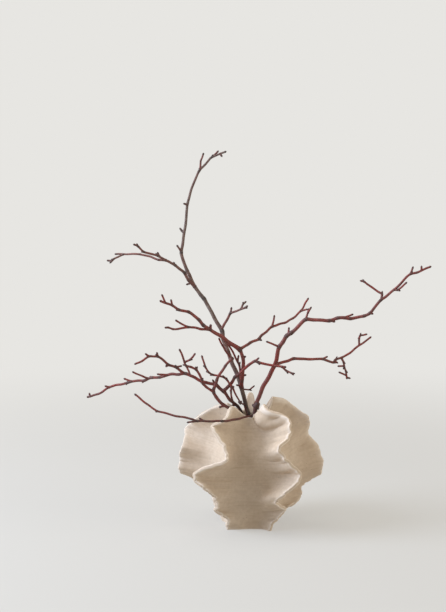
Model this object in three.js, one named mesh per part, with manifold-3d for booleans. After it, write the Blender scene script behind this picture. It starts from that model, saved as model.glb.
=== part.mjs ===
// A spare arrangement of bare winter branches in a ruffled stoneware vase.
// Millimetres, +Z up. The origin is on the vase's axis, on the plane that its foot rests on.
// The front of the arrangement looks along -Y, with its left side at -X.

import * as THREE from 'three';
import { mergeVertices } from 'three/addons/utils/BufferGeometryUtils.js';
import Module from 'manifold-3d';

const wasm = await Module();
wasm.setup();

// ---- Driving dimensions of the vase ----

const FIN_SPACING = 72; // degrees between neighbouring fins
const FIRST_FIN = -124; // degrees, the fin at the front left
const FIN_EDGE = 4.5; // thickness of a fin at its flat-cut edge
const FIN_EDGE_TOP = [6.5, 9, 9, 12, 9]; // and at the top of each fin, beside the mouth
const TOP_PART = 0.14; // part of the fin's height where its edge grows to that
const FOOT_PART = 0.06; // part of the height where a fin still stands square on the foot
const ROOT_PART = [0.15, 0.6]; // part of a fin's width where it turns square to its ruffle
const FIN_CORNER = 0.9; // softening of the two corners of that edge
const SWAY_POWER = 1.7; // how fast a fin's ruffle dies out towards the body
const RISE_POWER = 1.6; // keeps the lip level across a flute before it turns up to a fin's top
const LIP_HEIGHT = 155; // the mouth's lip, where a flute ends
const MOUTH_RADIUS = 19;
const FLOOR = 6; // thickness of the vase's floor
const VASE_ROWS = 47;
const HOLLOW_SIDES = 24;
const FACE_STEPS = [0.12, 0.28, 0.5, 0.76]; // along a fin's face, from the flute to the edge

// The bottom of the flutes: [height, distance from the axis].
const FLUTE = [[0, 33], [15, 33], [40, 38], [70, 44], [95, 44], [120, 37], [140, 28], [155, 24]];

// The hollow inside: [distance from the axis, height], from the floor up and out past the mouth.
const HOLLOW = [
  [0, FLOOR], [22, FLOOR], [27, 11], [32, 40], [38, 68], [38, 96], [31, 120], [22.5, 140],
  [MOUTH_RADIUS, 152], [21.5, 158], [26, 166], [31, 175], [37, 184], [0, 184],
];

// The edge of each fin, from the foot to its top: [height, reach from the axis, sway to the side].
// A positive sway is anticlockwise as seen from above.
const FINS = [
  [ // front left
    [0, 47, -8], [7, 48.5, -7.5], [17, 55, -1], [25, 65, -4], [31.5, 72, -10.5],
    [39.5, 73.5, -7], [49, 79, -5], [60.5, 92, -3], [71, 101, -12], [79, 103.5, -22],
    [87, 103, -25], [92.5, 101, -18.5], [98, 98.5, -8.5], [103, 96.5, 4.5], [106.5, 94.5, 16],
    [112, 91, 21], [119.5, 87, 18], [128, 84.5, 12], [134.5, 82, 4], [141, 79.5, -5],
    [147, 76.5, -12], [151.5, 73.5, -13], [156, 67, -6], [160.5, 56, -3], [165.5, 48, -6],
    [169, 41, -9], [171.5, 34, -9],
  ],
  [ // front right
    [0, 50, -5], [7, 51, -3], [12.5, 53.5, -1.5], [17.5, 57.5, 2.5], [24.5, 63.5, 4.5],
    [31, 68, 6.5], [36, 71, 3.5], [41, 72.5, -6], [46, 76, -14.5], [51.5, 80, -16.5],
    [60, 91, -15.5], [70, 99.5, -11], [77, 103, -3.5], [83, 103, 1.5], [89, 102, 2],
    [94.5, 100.5, 1], [98.5, 98.5, -4], [104, 96.5, -10.5], [110, 93.5, -15], [116, 90, -17],
    [121, 87.5, -19], [127, 86, -18], [131.5, 85, -11], [135, 84, -2.5], [140.5, 82, 4],
    [147, 79, 6], [154.5, 75, 7.5], [160, 68, 9], [163, 60.5, 7], [165.5, 54.5, 1.5],
    [168, 48, -4], [170.5, 41, -5.5], [173.5, 35, -3], [177, 28, 0],
  ],
  [ // right
    [0, 38, 0], [8, 40, 0], [15, 46, -4], [21, 56.5, -9], [25, 66, -9], [32, 73.5, -8],
    [37.5, 76, -5.5], [43.5, 77, -2], [49, 82, 0.5], [56, 91.5, -2.5], [62, 98.5, -8.5],
    [67, 102, -13.5], [77, 105, -13], [83, 106.5, -9.5], [89.5, 105, -4.5], [95.5, 105, -0.5],
    [102, 104, 4], [106.5, 101, 8], [111.5, 97, 12.5], [117, 92.5, 11.5], [123.5, 90, 9],
    [133.5, 86.5, -5], [141, 84.5, -10.5], [146.5, 83.5, -11], [150, 81.5, -10], [153, 76.5, -8],
    [156, 72.5, -5], [160.5, 67.5, -1.5], [165, 62, 1], [170, 56, 3], [175, 46, 0], [178, 33, 0],
  ],
  [ // back
    [0, 44, 0], [8, 48, 3], [16, 57, 6], [28, 68, -6], [38, 74, -11], [48, 79, -2],
    [57, 90, 10], [67, 101, 14], [77, 104, 2], [87, 103, -14], [97, 100, -18], [107, 96, -6],
    [117, 91, 12], [127, 87, 16], [137, 84, 4], [147, 78, -10], [157, 68, -9], [167, 56, -2],
    [175, 43, -2], [179, 34, -2],
  ],
  [ // left
    [0, 41, 0], [8, 44, 1], [16, 48, 3], [25, 52, 4], [35, 56, 2], [45, 63, -3],
    [54, 78, -9], [61, 94, -6], [67, 100, 5], [75, 102, 11], [84, 101, 5], [94, 101, 8],
    [104, 97, 12], [115, 97, -2], [126, 99, -14], [137, 88, -8], [148, 76, 3], [157, 64, 6],
    [163, 53, 2], [167, 43, 0], [169, 34, 0],
  ],
];

// Bulges and pushed-in places of a fin's sheet, by the fin's place in FINS: [height at the edge,
// place from the flute at 0 to the edge at 1, push to the side, half its height, half its width].
const FOLDS = {
  1: [
    [165, 0.42, -9.5, 8, 0.22], [155.5, 0.75, 5.5, 4.5, 0.3], [124, 0.62, -5, 8, 0.28],
    [107, 0.72, 4.5, 6, 0.3], [86, 0.65, 6, 9, 0.35], [53, 0.5, -10, 10, 0.32],
  ],
};

// ---- Driving dimensions of the branches ----

// The viewpoint that the branches are arranged for, and how far it looks down.
const VIEWPOINT = new THREE.Vector3(-38, -2190, 626);
const VIEW_TILT = THREE.MathUtils.degToRad(8.3);
const TWIG_SIDES = 5;
const BUD_SIDES = 4;
const MOUTH = new THREE.Vector3(0, 0, 158);
const OUTSIDE_EXTRA = 0.32; // added to a stem's radius away from the mouth
const OUTSIDE = [20, 50]; // distances from the mouth between which that grows
const ABOVE = [105, 125]; // heights between which it grows, so that the feet stay slim
const BUD_LENGTH = 3.4; // from the bark to the bud's tip
const BUD_SHAPE = [[0, 1.1], [0.6, 1.4], [1, 0.4]]; // [part of the length, radius]
const BUD_BEND = 18; // degrees: a sharper bend than this carries a bud
const BUD_STEM = 2; // only shoots thinner than this radius carry buds
const BUD_LEAN = 0.8; // how far a bud leans from straight out towards the tip of its shoot
const SAME_POINT = 1e-4; // corners nearer to each other than this are one corner

// A branch has a foot inside the vase, [x, y, z] from the floor up to the mouth, and shoots.
// The first shoot goes on from the foot. The points of a shoot are [across, up, back]: across
// and up as seen from the viewpoint, in the plane through the vase's axis, and back the depth
// behind that axis. radii are at its start and its end.
const BRANCHES = {
  branch_tall: {
    color: 0x5f4a42,
    foot: [[8, 14, 6.5], [5, 12, 60], [1, 9.5, 120], [-1, 8, 150]],
    shoots: [
      { // trunk and grey leader
        radii: [3.3, 0.9],
        seen: [
          [-6, 164, 8], [-10, 180, 6], [-12, 190, 5], [-20, 212, 7], [-26, 225, 9], [-32, 242, 12],
          [-38, 258, 15], [-39, 268, 17], [-49, 285, 20], [-60, 305, 24], [-64, 314, 26],
          [-69, 318, 27], [-77, 329, 29], [-85, 347, 32], [-89, 353, 33], [-95, 372, 36],
          [-97, 378, 37], [-94, 393, 38], [-91, 415, 39], [-89, 431, 39], [-88, 447, 38],
          [-86, 454, 37], [-82, 467, 35], [-77, 481, 33], [-72, 492, 31], [-63, 501, 29],
          [-55, 512, 26], [-50, 513, 25], [-33, 520, 20],
        ],
      },
      { radii: [0.9, 0.8], seen: [[-71, 494, 30.5], [-69, 507, 27], [-65, 518, 24]] },
      { radii: [0.9, 0.8], seen: [[-53, 513, 25.5], [-44, 521, 28]] },
      { radii: [0.9, 0.8], seen: [[-43, 516, 23], [-39, 512, 20]] },
      { radii: [0.9, 0.8], seen: [[-88, 446, 38], [-94, 447, 36]] },
      { radii: [1.0, 0.8], seen: [[-92, 405, 38.5], [-95, 408, 40], [-99, 413, 41]] },
      { radii: [1.0, 0.8], seen: [[-97, 379, 37], [-103, 389, 34]] },
      { radii: [1.2, 0.8], seen: [[-85, 335, 28], [-90, 333, 30]] },
      { // arching side shoot to the left
        radii: [1.6, 0.9],
        seen: [
          [-78, 331, 29], [-86, 339, 26], [-92, 350, 22], [-99, 355, 19], [-105, 361, 16],
          [-118, 367, 11], [-129, 374, 7], [-139, 376, 3], [-149, 379, -2], [-157, 387, -5],
          [-164, 390, -8],
        ],
      },
      {
        radii: [1.1, 0.85],
        seen: [
          [-118, 367, 11], [-128, 368, 14], [-139, 372, 18], [-154, 376, 22], [-168, 376, 26],
          [-177, 376, 29], [-190, 376, 33],
        ],
      },
      { radii: [0.9, 0.8], seen: [[-177, 376, 29], [-191, 369, 27], [-197, 363, 25]] },
      { radii: [0.85, 0.8], seen: [[-194, 367, 26], [-201, 367, 28]] },
      { radii: [1.0, 0.9], seen: [[-127, 373, 8], [-130, 379, 10]] },
      { // twig to the right of the leader
        radii: [1.4, 0.9],
        seen: [
          [-40, 271, 17], [-36, 278, 14], [-32, 285, 11], [-28, 293, 8], [-19, 296, 4],
          [-13, 299, 1], [-7, 301, -2], [-3, 304, -4],
        ],
      },
      { radii: [1.0, 0.85], seen: [[-28, 293, 8], [-26, 302, 10]] },
      { radii: [0.9, 0.8], seen: [[-13, 299, 1], [-10, 306, 3], [-5, 310, 5]] },
      { // dark red arm
        radii: [2.1, 1.8],
        seen: [
          [-12, 190, 5], [-12, 198, 1], [-10.5, 206, -1], [-10, 214, -3], [-9.5, 221, -4],
          [-10, 230, -5], [-12, 237, -6], [-14, 243, -6],
        ],
      },
      { radii: [1.1, 0.9], seen: [[-10, 230, -5], [-5.5, 233, -7]] },
      { radii: [0.9, 0.8], seen: [[-10.5, 205, -1], [-5, 207, -3]] },
      { // right twig of the arm
        radii: [1.5, 0.85],
        seen: [
          [-14, 243, -6], [-4, 249, -2], [0, 252, 1], [8, 255, 5], [12, 257, 7], [15, 261, 9],
          [21, 266, 12], [30, 274, 17], [38, 277, 21], [49, 280, 26], [60, 286, 31], [71, 296, 36],
          [75, 303, 39], [82, 315, 43],
        ],
      },
      { radii: [0.9, 0.8], seen: [[11, 257, 7], [17, 255, 5]] },
      { radii: [1.0, 0.8], seen: [[31, 275, 17], [33, 283, 20], [34, 291, 22]] },
      { radii: [0.85, 0.8], seen: [[71, 296, 36], [81, 299, 33]] },
      { // left spray of the arm, with its lower and its side twig
        radii: [2.3, 1.0],
        seen: [
          [-14, 242, -6], [-24, 249, -10], [-32, 254, -14], [-41, 261, -19], [-54, 269, -26],
          [-66, 276, -33], [-71, 284, -36], [-79, 290, -40], [-86, 295, -44], [-100, 298, -50],
          [-109, 304, -55], [-120, 308, -60], [-127, 311, -63],
        ],
      },
      { radii: [0.9, 0.8], seen: [[-118, 307, -59], [-124, 320, -62]] },
      { radii: [0.9, 0.8], seen: [[-109, 304, -55], [-111, 313, -57]] },
      { radii: [1.5, 1.0], seen: [[-55, 270, -27], [-55, 278, -29]] },
      {
        radii: [1.3, 0.85],
        seen: [
          [-56, 270, -27], [-69, 271, -32], [-78, 273, -36], [-86, 274, -40], [-101, 271, -47],
          [-108, 271, -50], [-115, 273, -53], [-120, 273, -56],
        ],
      },
      { radii: [0.9, 0.8], seen: [[-86, 274, -40], [-98, 279, -43], [-105, 284, -46]] },
      { // thin shoots among the stems
        radii: [0.95, 0.8],
        seen: [[-28, 231, 10], [-31, 236, 6], [-35, 241, 0], [-39, 248, -5], [-44, 259, -9]],
      },
      {
        radii: [1.1, 0.85],
        seen: [
          [-13, 193, 4], [-14, 209, 1], [-15, 221, 0], [-20, 230, -1], [-25, 240, -2],
          [-29, 247, -4], [-34, 253, -5],
        ],
      },
      { radii: [0.9, 0.8], seen: [[-17, 225, 0], [-16, 235, 1]] },
      { radii: [0.9, 0.8], seen: [[-11, 187, 5], [-1, 186, 2], [3, 189, 0], [6.5, 192, -1]] },
      { radii: [0.9, 0.8], seen: [[-12, 191, 5], [-20, 193, 2]] },
    ],
  },
  branch_right: {
    color: 0x57302b,
    foot: [[-8, -12, 6.5], [-5, -11, 60], [1, -9, 120], [4, -8, 148]],
    shoots: [
      { // main stem
        radii: [3.3, 0.95],
        seen: [
          [7, 158, -8], [8.5, 166, -8], [11.5, 174, -8], [18, 190, -9], [25, 202, -10],
          [34, 219, -12], [36.5, 227, -14], [40.5, 246.5, -17], [46, 253, -18], [51, 262, -20],
          [57.5, 265, -21], [72, 279.5, -25], [78, 285.5, -27], [87, 284, -29], [98.5, 283.5, -31],
          [111, 282.5, -34], [122, 286.5, -36], [132, 287, -38], [140, 285.5, -39],
          [160, 289, -43], [167.5, 293, -45], [179, 306.5, -48], [182.5, 312, -49],
          [190, 316.5, -50], [203, 327, -53], [219, 343.5, -56], [225, 349, -57], [233, 350, -58],
          [240.5, 353, -59], [254, 359, -61],
        ],
      },
      { radii: [3.5, 2.6], seen: [[8, 163, -8], [11.5, 168, -10]] },
      { radii: [1.0, 0.8], seen: [[40, 246.5, -17], [30, 250.5, -19], [22, 254, -20]] },
      { radii: [1.0, 0.8], seen: [[53, 263, -20], [54.5, 274, -18]] },
      { radii: [1.0, 0.8], seen: [[78, 286, -27], [81, 295, -26], [82, 300.5, -25]] },
      { radii: [0.85, 0.8], seen: [[80.5, 293.5, -26], [86, 302.5, -28]] },
      { radii: [1.0, 0.85], seen: [[110, 283, -34], [119.5, 281, -36]] },
      { radii: [0.9, 0.8], seen: [[131, 287, -38], [145, 292, -36]] },
      { radii: [0.9, 0.8], seen: [[167, 292.5, -45], [173, 292, -47]] },
      { // twig that turns back to the left
        radii: [1.1, 0.85],
        seen: [
          [182.5, 312, -49], [185, 320.5, -47], [180, 323, -45], [172.5, 328, -42],
          [165, 333, -39], [160, 337.5, -37], [153.5, 339, -35],
        ],
      },
      {
        radii: [0.95, 0.8],
        seen: [[202, 326, -53], [206.5, 325.5, -55], [213, 330.5, -57], [220, 337, -60]],
      },
      { radii: [0.95, 0.8], seen: [[225, 349, -57], [228.5, 359, -55]] },
      { radii: [0.9, 0.8], seen: [[240, 353, -59], [240, 360, -58]] },
      { // lower spray
        radii: [1.6, 0.85],
        seen: [
          [36, 222, -12], [51.5, 226, -5], [60.5, 230, -1], [70, 229, 3], [92.5, 229, 12],
          [101.5, 229, 15], [117, 224, 21], [119.5, 228, 22], [128.5, 231, 26], [141, 238.5, 31],
          [152.5, 248, 35], [160, 253, 38], [170, 260.5, 42],
        ],
      },
      { radii: [0.9, 0.8], seen: [[101.5, 229, 15], [109, 233, 17]] },
      { radii: [0.9, 0.8], seen: [[118, 226, 21.5], [123.5, 223, 20]] },
      {
        radii: [0.95, 0.8],
        seen: [[152, 248, 35], [152.5, 256, 36], [154, 262, 36], [164.5, 264, 38]],
      },
      { // twig that hangs from it
        radii: [1.0, 0.85],
        seen: [
          [128, 231, 26], [131, 224.5, 28], [131.5, 218.5, 29], [134.5, 212, 30],
          [135.5, 200.5, 32],
        ],
      },
      { radii: [0.85, 0.8], seen: [[131.5, 219, 29], [122, 219, 30]] },
      { radii: [0.85, 0.8], seen: [[135, 206.5, 31], [123.5, 211, 33]] },
      { radii: [0.85, 0.8], seen: [[135.5, 203, 31.5], [141, 202, 31]] },
    ],
  },
  branch_left: {
    color: 0x5a2f2a,
    foot: [[8, 4, 6.9], [3, 5, 50], [-6, 5.5, 118], [-11, 6, 148]],
    shoots: [
      { // main stem
        radii: [2.4, 1.0],
        seen: [
          [-12, 154, 6], [-17, 163.5, 5], [-21.5, 166, 4], [-28, 171.5, 2], [-37, 184, 0],
          [-44, 189, -1], [-48.5, 194, -2], [-61.5, 195.5, -2], [-70.5, 199, -1],
          [-80.5, 204.5, 0], [-89.5, 209, 2], [-99.5, 207.5, 5], [-109, 208, 8],
          [-117.5, 206.5, 11], [-126, 203, 14], [-137, 203.5, 17], [-147.5, 199, 20],
          [-167.5, 198, 26], [-171, 195.5, 27], [-185, 193, 31], [-197.5, 190, 34],
          [-206, 183.5, 36], [-214, 179.5, 38], [-229, 175.5, 42],
        ],
      },
      { radii: [0.9, 0.8], seen: [[-224, 177, 41], [-225.5, 182, 42]] },
      { radii: [0.9, 0.8], seen: [[-197, 190, 34], [-204, 191.5, 32]] },
      { radii: [0.95, 0.8], seen: [[-167, 198, 26], [-177.5, 202, 28]] },
      { radii: [1.0, 0.8], seen: [[-142, 201, 18.5], [-157, 207.5, 16], [-165.5, 211.5, 14]] },
      { radii: [1.0, 0.8], seen: [[-115, 206.5, 10], [-131, 208, 7]] },
      { radii: [1.8, 1.2], seen: [[-22, 166, 4], [-26, 163, 0.5]] },
      { radii: [1.0, 0.8], seen: [[-49, 194, -2], [-53, 200.5, -3]] },
      {
        radii: [1.1, 0.85],
        seen: [[-24.5, 169, 3], [-26, 175.5, 5], [-27, 182, 7], [-26.5, 190, 8]],
      },
      { // upper twig
        radii: [1.4, 0.9],
        seen: [
          [-93, 208.5, 3], [-103, 217, 0], [-114, 221, -3], [-124.5, 229.5, -6],
          [-129.5, 233, -8], [-141, 233, -11], [-151, 226.5, -13], [-162.5, 221.5, -16],
        ],
      },
      { radii: [0.9, 0.8], seen: [[-141, 233, -11], [-147.5, 237, -12]] },
      { radii: [0.9, 0.8], seen: [[-129.5, 233, -8], [-131, 239, -9]] },
      { radii: [0.9, 0.8], seen: [[-113, 221, -3], [-119, 218, -2]] },
      { radii: [0.9, 0.8], seen: [[-104, 217.5, 0], [-95, 219.5, 3]] },
      { // shoot that crosses in front of the other stems
        radii: [1.8, 1.0],
        seen: [
          [-35.5, 187, 0], [-29, 192, -3], [-25, 197.5, -6], [-21.5, 204, -8], [-16, 207, -9],
          [-12, 211, -10.5], [-7.5, 216, -12], [-2.5, 221, -13], [7, 226.5, -15],
          [11, 224, -17], [19.5, 222.5, -19], [35, 219.5, -23], [51, 217.5, -28],
        ],
      },
      { radii: [0.95, 0.8], seen: [[6, 226, -15], [13, 231, -16]] },
      {
        radii: [0.95, 0.8],
        seen: [[44, 218, -25.5], [50.5, 212.5, -28], [58, 209, -31], [63, 208.5, -33]],
      },
    ],
  },
  branch_short: {
    color: 0x64372c,
    foot: [[-7, 2, 6.6], [-8, -1, 70], [-8, -3, 134], [-11, -4, 153], [-17, -4.5, 159.4]],
    shoots: [
      { // stem over the lip, and the red twig above it
        radii: [3.0, 1.2],
        seen: [
          [-29, 159.5, -6], [-37.5, 165, -8], [-43, 170, -9], [-48, 175.5, -10],
          [-51.5, 182.5, -11], [-51, 187.5, -12], [-48, 194, -12.5], [-47, 200, -13],
          [-44, 205.5, -13], [-40, 211, -13], [-35.5, 219, -12], [-29, 225.5, -11],
          [-24, 231, -10],
        ],
      },
      { radii: [1.6, 1.3], seen: [[-26, 229, -10.5], [-23.5, 231.5, -10]] },
      { radii: [1.2, 0.9], seen: [[-37, 163, -8], [-44, 161.5, -9]] },
      { // side shoot up to the left
        radii: [1.3, 0.9],
        seen: [
          [-51, 184, -11], [-61.5, 189.5, -14], [-66.5, 194.5, -15], [-67, 199.5, -16],
          [-70.5, 207, -17], [-75.5, 214, -18], [-83, 218, -19], [-90.5, 220, -19],
          [-92, 225, -19], [-96.5, 237.5, -21], [-99.5, 243.5, -22],
        ],
      },
      {
        radii: [1.0, 0.85],
        seen: [[-92, 225, -19], [-84, 228, -21], [-80, 232, -22], [-76.5, 237.5, -23]],
      },
      { radii: [0.9, 0.8], seen: [[-89, 220, -19], [-85.5, 211, -20], [-84, 206.5, -20]] },
      { radii: [0.85, 0.8], seen: [[-75.5, 214, -18], [-74, 219, -17]] },
    ],
  },
  branch_low: {
    color: 0x4e2c2a,
    foot: [[2, -16, 6.5], [1, -17, 60], [0.5, -15, 120], [0.8, -14.3, 157]],
    shoots: [
      { // twig over the front lip
        radii: [1.3, 0.9],
        seen: [
          [1, 150, -23], [-5, 148, -31], [-14, 146, -40], [-20, 144.5, -47],
          [-28, 143, -56], [-39, 142, -66], [-63, 142, -72], [-74, 142, -74], [-81, 145, -74],
          [-90, 147, -73], [-101, 148.5, -72], [-112, 151.5, -70], [-122, 154, -68], [-129.5, 156, -66],
          [-137, 160.5, -64], [-147, 167.5, -61], [-155, 175, -58], [-162.5, 180.5, -56],
        ],
      },
      { radii: [0.95, 0.8], seen: [[-73, 142, -74], [-89, 140, -77]] },
      { radii: [0.9, 0.8], seen: [[-65, 142, -72], [-72, 146.5, -71]] },
    ],
  },
  twig_curl: {
    color: 0x553029,
    foot: [[4, -3, 6.4], [1, -2, 80], [-3, 0.5, 140], [-4.5, 1, 154]],
    shoots: [
      { // twig that curls over to the left
        radii: [1.3, 0.85],
        seen: [
          [-7, 164.5, 1], [-14, 168, -2], [-16, 171.5, -3], [-20, 179.5, -5], [-24, 187.5, -6.8],
          [-26.5, 190.5, -8.2], [-29.5, 195.5, -9.7], [-32, 200, -10], [-36, 203.5, -9.2],
          [-43, 205, -7], [-52.5, 207, -6], [-58, 210.5, -5], [-63, 217.5, -4], [-65.5, 227, -3],
          [-68, 234.5, -2],
        ],
      },
      { radii: [1.8, 1.3], seen: [[-13, 167.5, -1.5], [-16, 169, -3]] },
      { radii: [1.7, 1.2], seen: [[-25, 189, -7.3], [-27.5, 192, -8.6]] },
    ],
  },
};

// ---- General helpers ----

// A smooth curve through [position, value] pairs, read at any position between them.
function curveThrough(pairs) {
  const last = pairs.length - 1;
  const slopes = pairs.map((pair, i) => {
    const before = pairs[Math.max(i - 1, 0)];
    const after = pairs[Math.min(i + 1, last)];
    return (after[1] - before[1]) / (after[0] - before[0]);
  });
  return (position) => {
    let i = 0;
    while (i < last - 1 && position > pairs[i + 1][0]) {
      i += 1;
    }
    const width = pairs[i + 1][0] - pairs[i][0];
    const t = (position - pairs[i][0]) / width;
    const fromStart = (1 + 2 * t) * (1 - t) ** 2 * pairs[i][1];
    const fromEnd = t ** 2 * (3 - 2 * t) * pairs[i + 1][1];
    const fromSlopes = t * (1 - t) * width * ((1 - t) * slopes[i] - t * slopes[i + 1]);
    return fromStart + fromEnd + fromSlopes;
  };
}

// Rings of points joined into one closed skin, with a point at each end to close it.
function skinOfRings(rings, startCentre, endCentre) {
  const around = rings[0].length;
  const points = [...rings.flat(), startCentre, endCentre];
  const start = points.length - 2;
  const end = points.length - 1;
  const topRow = (rings.length - 1) * around;
  const index = [];
  for (let i = 0; i < around; i += 1) {
    const next = (i + 1) % around;
    index.push(start, next, i);
    index.push(end, topRow + i, topRow + next);
    for (let row = 0; row < topRow; row += around) {
      index.push(row + i, row + next, row + around + next);
      index.push(row + i, row + around + next, row + around + i);
    }
  }
  const geometry = new THREE.BufferGeometry();
  geometry.setFromPoints(points);
  geometry.setIndex(index);
  return geometry;
}

function solidFrom(geometry) {
  geometry.deleteAttribute('normal');
  geometry.deleteAttribute('uv');
  const merged = mergeVertices(geometry, SAME_POINT);
  const vertProperties = new Float32Array(merged.attributes.position.array);
  const triVerts = new Uint32Array(merged.index.array);
  return new wasm.Manifold(new wasm.Mesh({ numProp: 3, vertProperties, triVerts }));
}

function geometryFrom(solid) {
  const mesh = solid.getMesh();
  const corners = new Float32Array(mesh.vertProperties);
  const geometry = new THREE.BufferGeometry();
  geometry.setAttribute('position', new THREE.BufferAttribute(corners, 3));
  geometry.setIndex(new THREE.BufferAttribute(new Uint32Array(mesh.triVerts), 1));
  geometry.computeVertexNormals();
  return geometry;
}

// ---- The vase ----

const halfSpacing = THREE.MathUtils.degToRad(FIN_SPACING / 2);
const fluteRadius = curveThrough(FLUTE);

// One fin: a sheet from the bottom of the flutes out to its ruffled edge.
function makeFin(number) {
  const rows = FINS[number];
  const azimuth = THREE.MathUtils.degToRad(FIRST_FIN + FIN_SPACING * number);
  const outward = new THREE.Vector3(Math.cos(azimuth), Math.sin(azimuth), 0);
  const sideways = new THREE.Vector3(-Math.sin(azimuth), Math.cos(azimuth), 0);
  const top = rows[rows.length - 1][0];
  const reach = curveThrough(rows.map((row) => [row[0], row[1]]));
  const edgeSway = curveThrough(rows.map((row) => [row[0], row[2]]));
  const folds = FOLDS[number] ?? [];

  function sway(rise, out) {
    let sum = edgeSway(rise * top) * out ** SWAY_POWER;
    for (const [height, place, push, tall, wide] of folds) {
      const up = (rise * top - height) / tall;
      const across = (out - place) / wide;
      sum += push * Math.exp(-(up ** 2) - across ** 2);
    }
    return sum;
  }

  // The middle of the sheet: rise is 0 at the foot and 1 at the top, out is 0 at the flute and
  // 1 at the edge.
  function middle(rise, out) {
    const root = fluteRadius(rise * LIP_HEIGHT) * Math.cos(halfSpacing);
    const distance = THREE.MathUtils.lerp(root, reach(rise * top), out);
    const height = THREE.MathUtils.lerp(rise * LIP_HEIGHT, rise * top, out ** RISE_POWER);
    return new THREE.Vector3(0, 0, height)
      .addScaledVector(outward, distance)
      .addScaledVector(sideways, sway(rise, out));
  }

  // The direction in which the sheet is thick: square to it towards the edge, and plainly
  // sideways near the root and the foot, so that the flutes and the underside stay smooth.
  function thickWay(rise, out) {
    const step = 0.002;
    const low = Math.max(rise - step, 0);
    const high = Math.min(rise + step, 1);
    const upward = middle(high, out).sub(middle(low, out));
    const along = middle(rise, out + step).sub(middle(rise, Math.max(out - step, 0)));
    const square = upward.cross(along).normalize();
    square.z *= THREE.MathUtils.smoothstep(rise, 0, FOOT_PART);
    return sideways.clone().lerp(square, THREE.MathUtils.smoothstep(out, ...ROOT_PART)).normalize();
  }

  // Half the thickness: as wide as the flutes leave it at the root, and thin at the edge.
  function halfThickness(rise, out) {
    const thickening = THREE.MathUtils.smoothstep(rise, 1 - TOP_PART, 1);
    const edge = THREE.MathUtils.lerp(FIN_EDGE, FIN_EDGE_TOP[number], thickening) / 2;
    const radius = fluteRadius(rise * LIP_HEIGHT);
    const length = reach(rise * top) - radius * Math.cos(halfSpacing);
    const extra = radius * Math.sin(halfSpacing) - edge;
    const power = length / Math.tan(halfSpacing) / extra;
    return edge + extra * (1 - out) ** power;
  }

  function facePoint(rise, out, side, trim = 0) {
    const offset = side * (halfThickness(rise, out) - trim);
    return middle(rise, out).addScaledVector(thickWay(rise, out), offset);
  }

  // The fin's part of one row of the vase, from the flute before it to the flute after it.
  return (rise) => {
    const length = reach(rise * top) - fluteRadius(rise * LIP_HEIGHT) * Math.cos(halfSpacing);
    const corner = 1 - FIN_CORNER / length;
    return [
      facePoint(rise, 0, -1),
      ...FACE_STEPS.map((out) => facePoint(rise, out, -1)),
      facePoint(rise, corner, -1),
      facePoint(rise, 1, -1, FIN_CORNER),
      facePoint(rise, 1, 1, FIN_CORNER),
      facePoint(rise, corner, 1),
      ...FACE_STEPS.toReversed().map((out) => facePoint(rise, out, 1)),
    ];
  };
}

function makeVase() {
  const fins = FINS.map((_, number) => makeFin(number));
  const rings = [];
  for (let row = 0; row <= VASE_ROWS; row += 1) {
    rings.push(fins.flatMap((fin) => fin(row / VASE_ROWS)));
  }
  rings[0].forEach((point) => point.setZ(0));
  const foot = new THREE.Vector3(0, 0, 0);
  const mouth = new THREE.Vector3(0, 0, LIP_HEIGHT);
  const body = solidFrom(skinOfRings(rings, foot, mouth));

  const profile = HOLLOW.map(([radius, height]) => new THREE.Vector2(radius, height));
  const hollow = new THREE.LatheGeometry(profile, HOLLOW_SIDES);
  hollow.rotateX(Math.PI / 2);
  return body.subtract(solidFrom(hollow));
}

// ---- The branches ----

// The point seen from the viewpoint at this place, at this depth behind the vase's axis.
function seenAt([across, up, back]) {
  const inPlane = new THREE.Vector3(across, up * Math.sin(VIEW_TILT), up * Math.cos(VIEW_TILT));
  const line = inPlane.sub(VIEWPOINT);
  return VIEWPOINT.clone().addScaledVector(line, (back - VIEWPOINT.y) / line.y);
}

// The radius at each point of a route that tapers evenly along its length, and is a little
// thicker where it is away from the crowded mouth.
function taper(route, [start, end]) {
  const travelled = [0];
  for (let i = 1; i < route.length; i += 1) {
    travelled.push(travelled[i - 1] + route[i].distanceTo(route[i - 1]));
  }
  const total = travelled[route.length - 1];
  return travelled.map((distance, i) => {
    const away = THREE.MathUtils.smoothstep(route[i].distanceTo(MOUTH), ...OUTSIDE);
    const above = THREE.MathUtils.smoothstep(route[i].z, ...ABOVE);
    return THREE.MathUtils.lerp(start, end, distance / total) + OUTSIDE_EXTRA * away * above;
  });
}

// A round twig along a route, with a ring of corners and a radius at each of its points.
function makeTwig(route, radii, sides) {
  const steps = route.slice(1).map((point, i) => point.clone().sub(route[i]).normalize());
  let across = new THREE.Vector3(0, 1, 0);
  const rings = route.map((point, i) => {
    const before = steps[Math.max(i - 1, 0)];
    const after = steps[Math.min(i, steps.length - 1)];
    const forward = before.clone().add(after).normalize();
    across = across.clone().addScaledVector(forward, -across.dot(forward)).normalize();
    const other = forward.clone().cross(across);
    return Array.from({ length: sides }, (_, corner) => {
      const angle = (2 * Math.PI * corner) / sides;
      return point.clone()
        .addScaledVector(across, radii[i] * Math.cos(angle))
        .addScaledVector(other, radii[i] * Math.sin(angle));
    });
  });
  return solidFrom(skinOfRings(rings, route[0], route[route.length - 1]));
}

// A pointed bud at a bend, on the outer side of it and leaning towards the tip.
function makeBud(point, before, after, stem) {
  const outward = before.clone().sub(after).normalize();
  const forward = before.clone().add(after).normalize();
  const lean = outward.addScaledVector(forward, BUD_LEAN).normalize();
  const length = stem + BUD_LENGTH;
  const route = BUD_SHAPE.map(([part]) => point.clone().addScaledVector(lean, part * length));
  const radii = BUD_SHAPE.map(([, radius]) => radius);
  return makeTwig(route, radii, BUD_SIDES);
}

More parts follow.
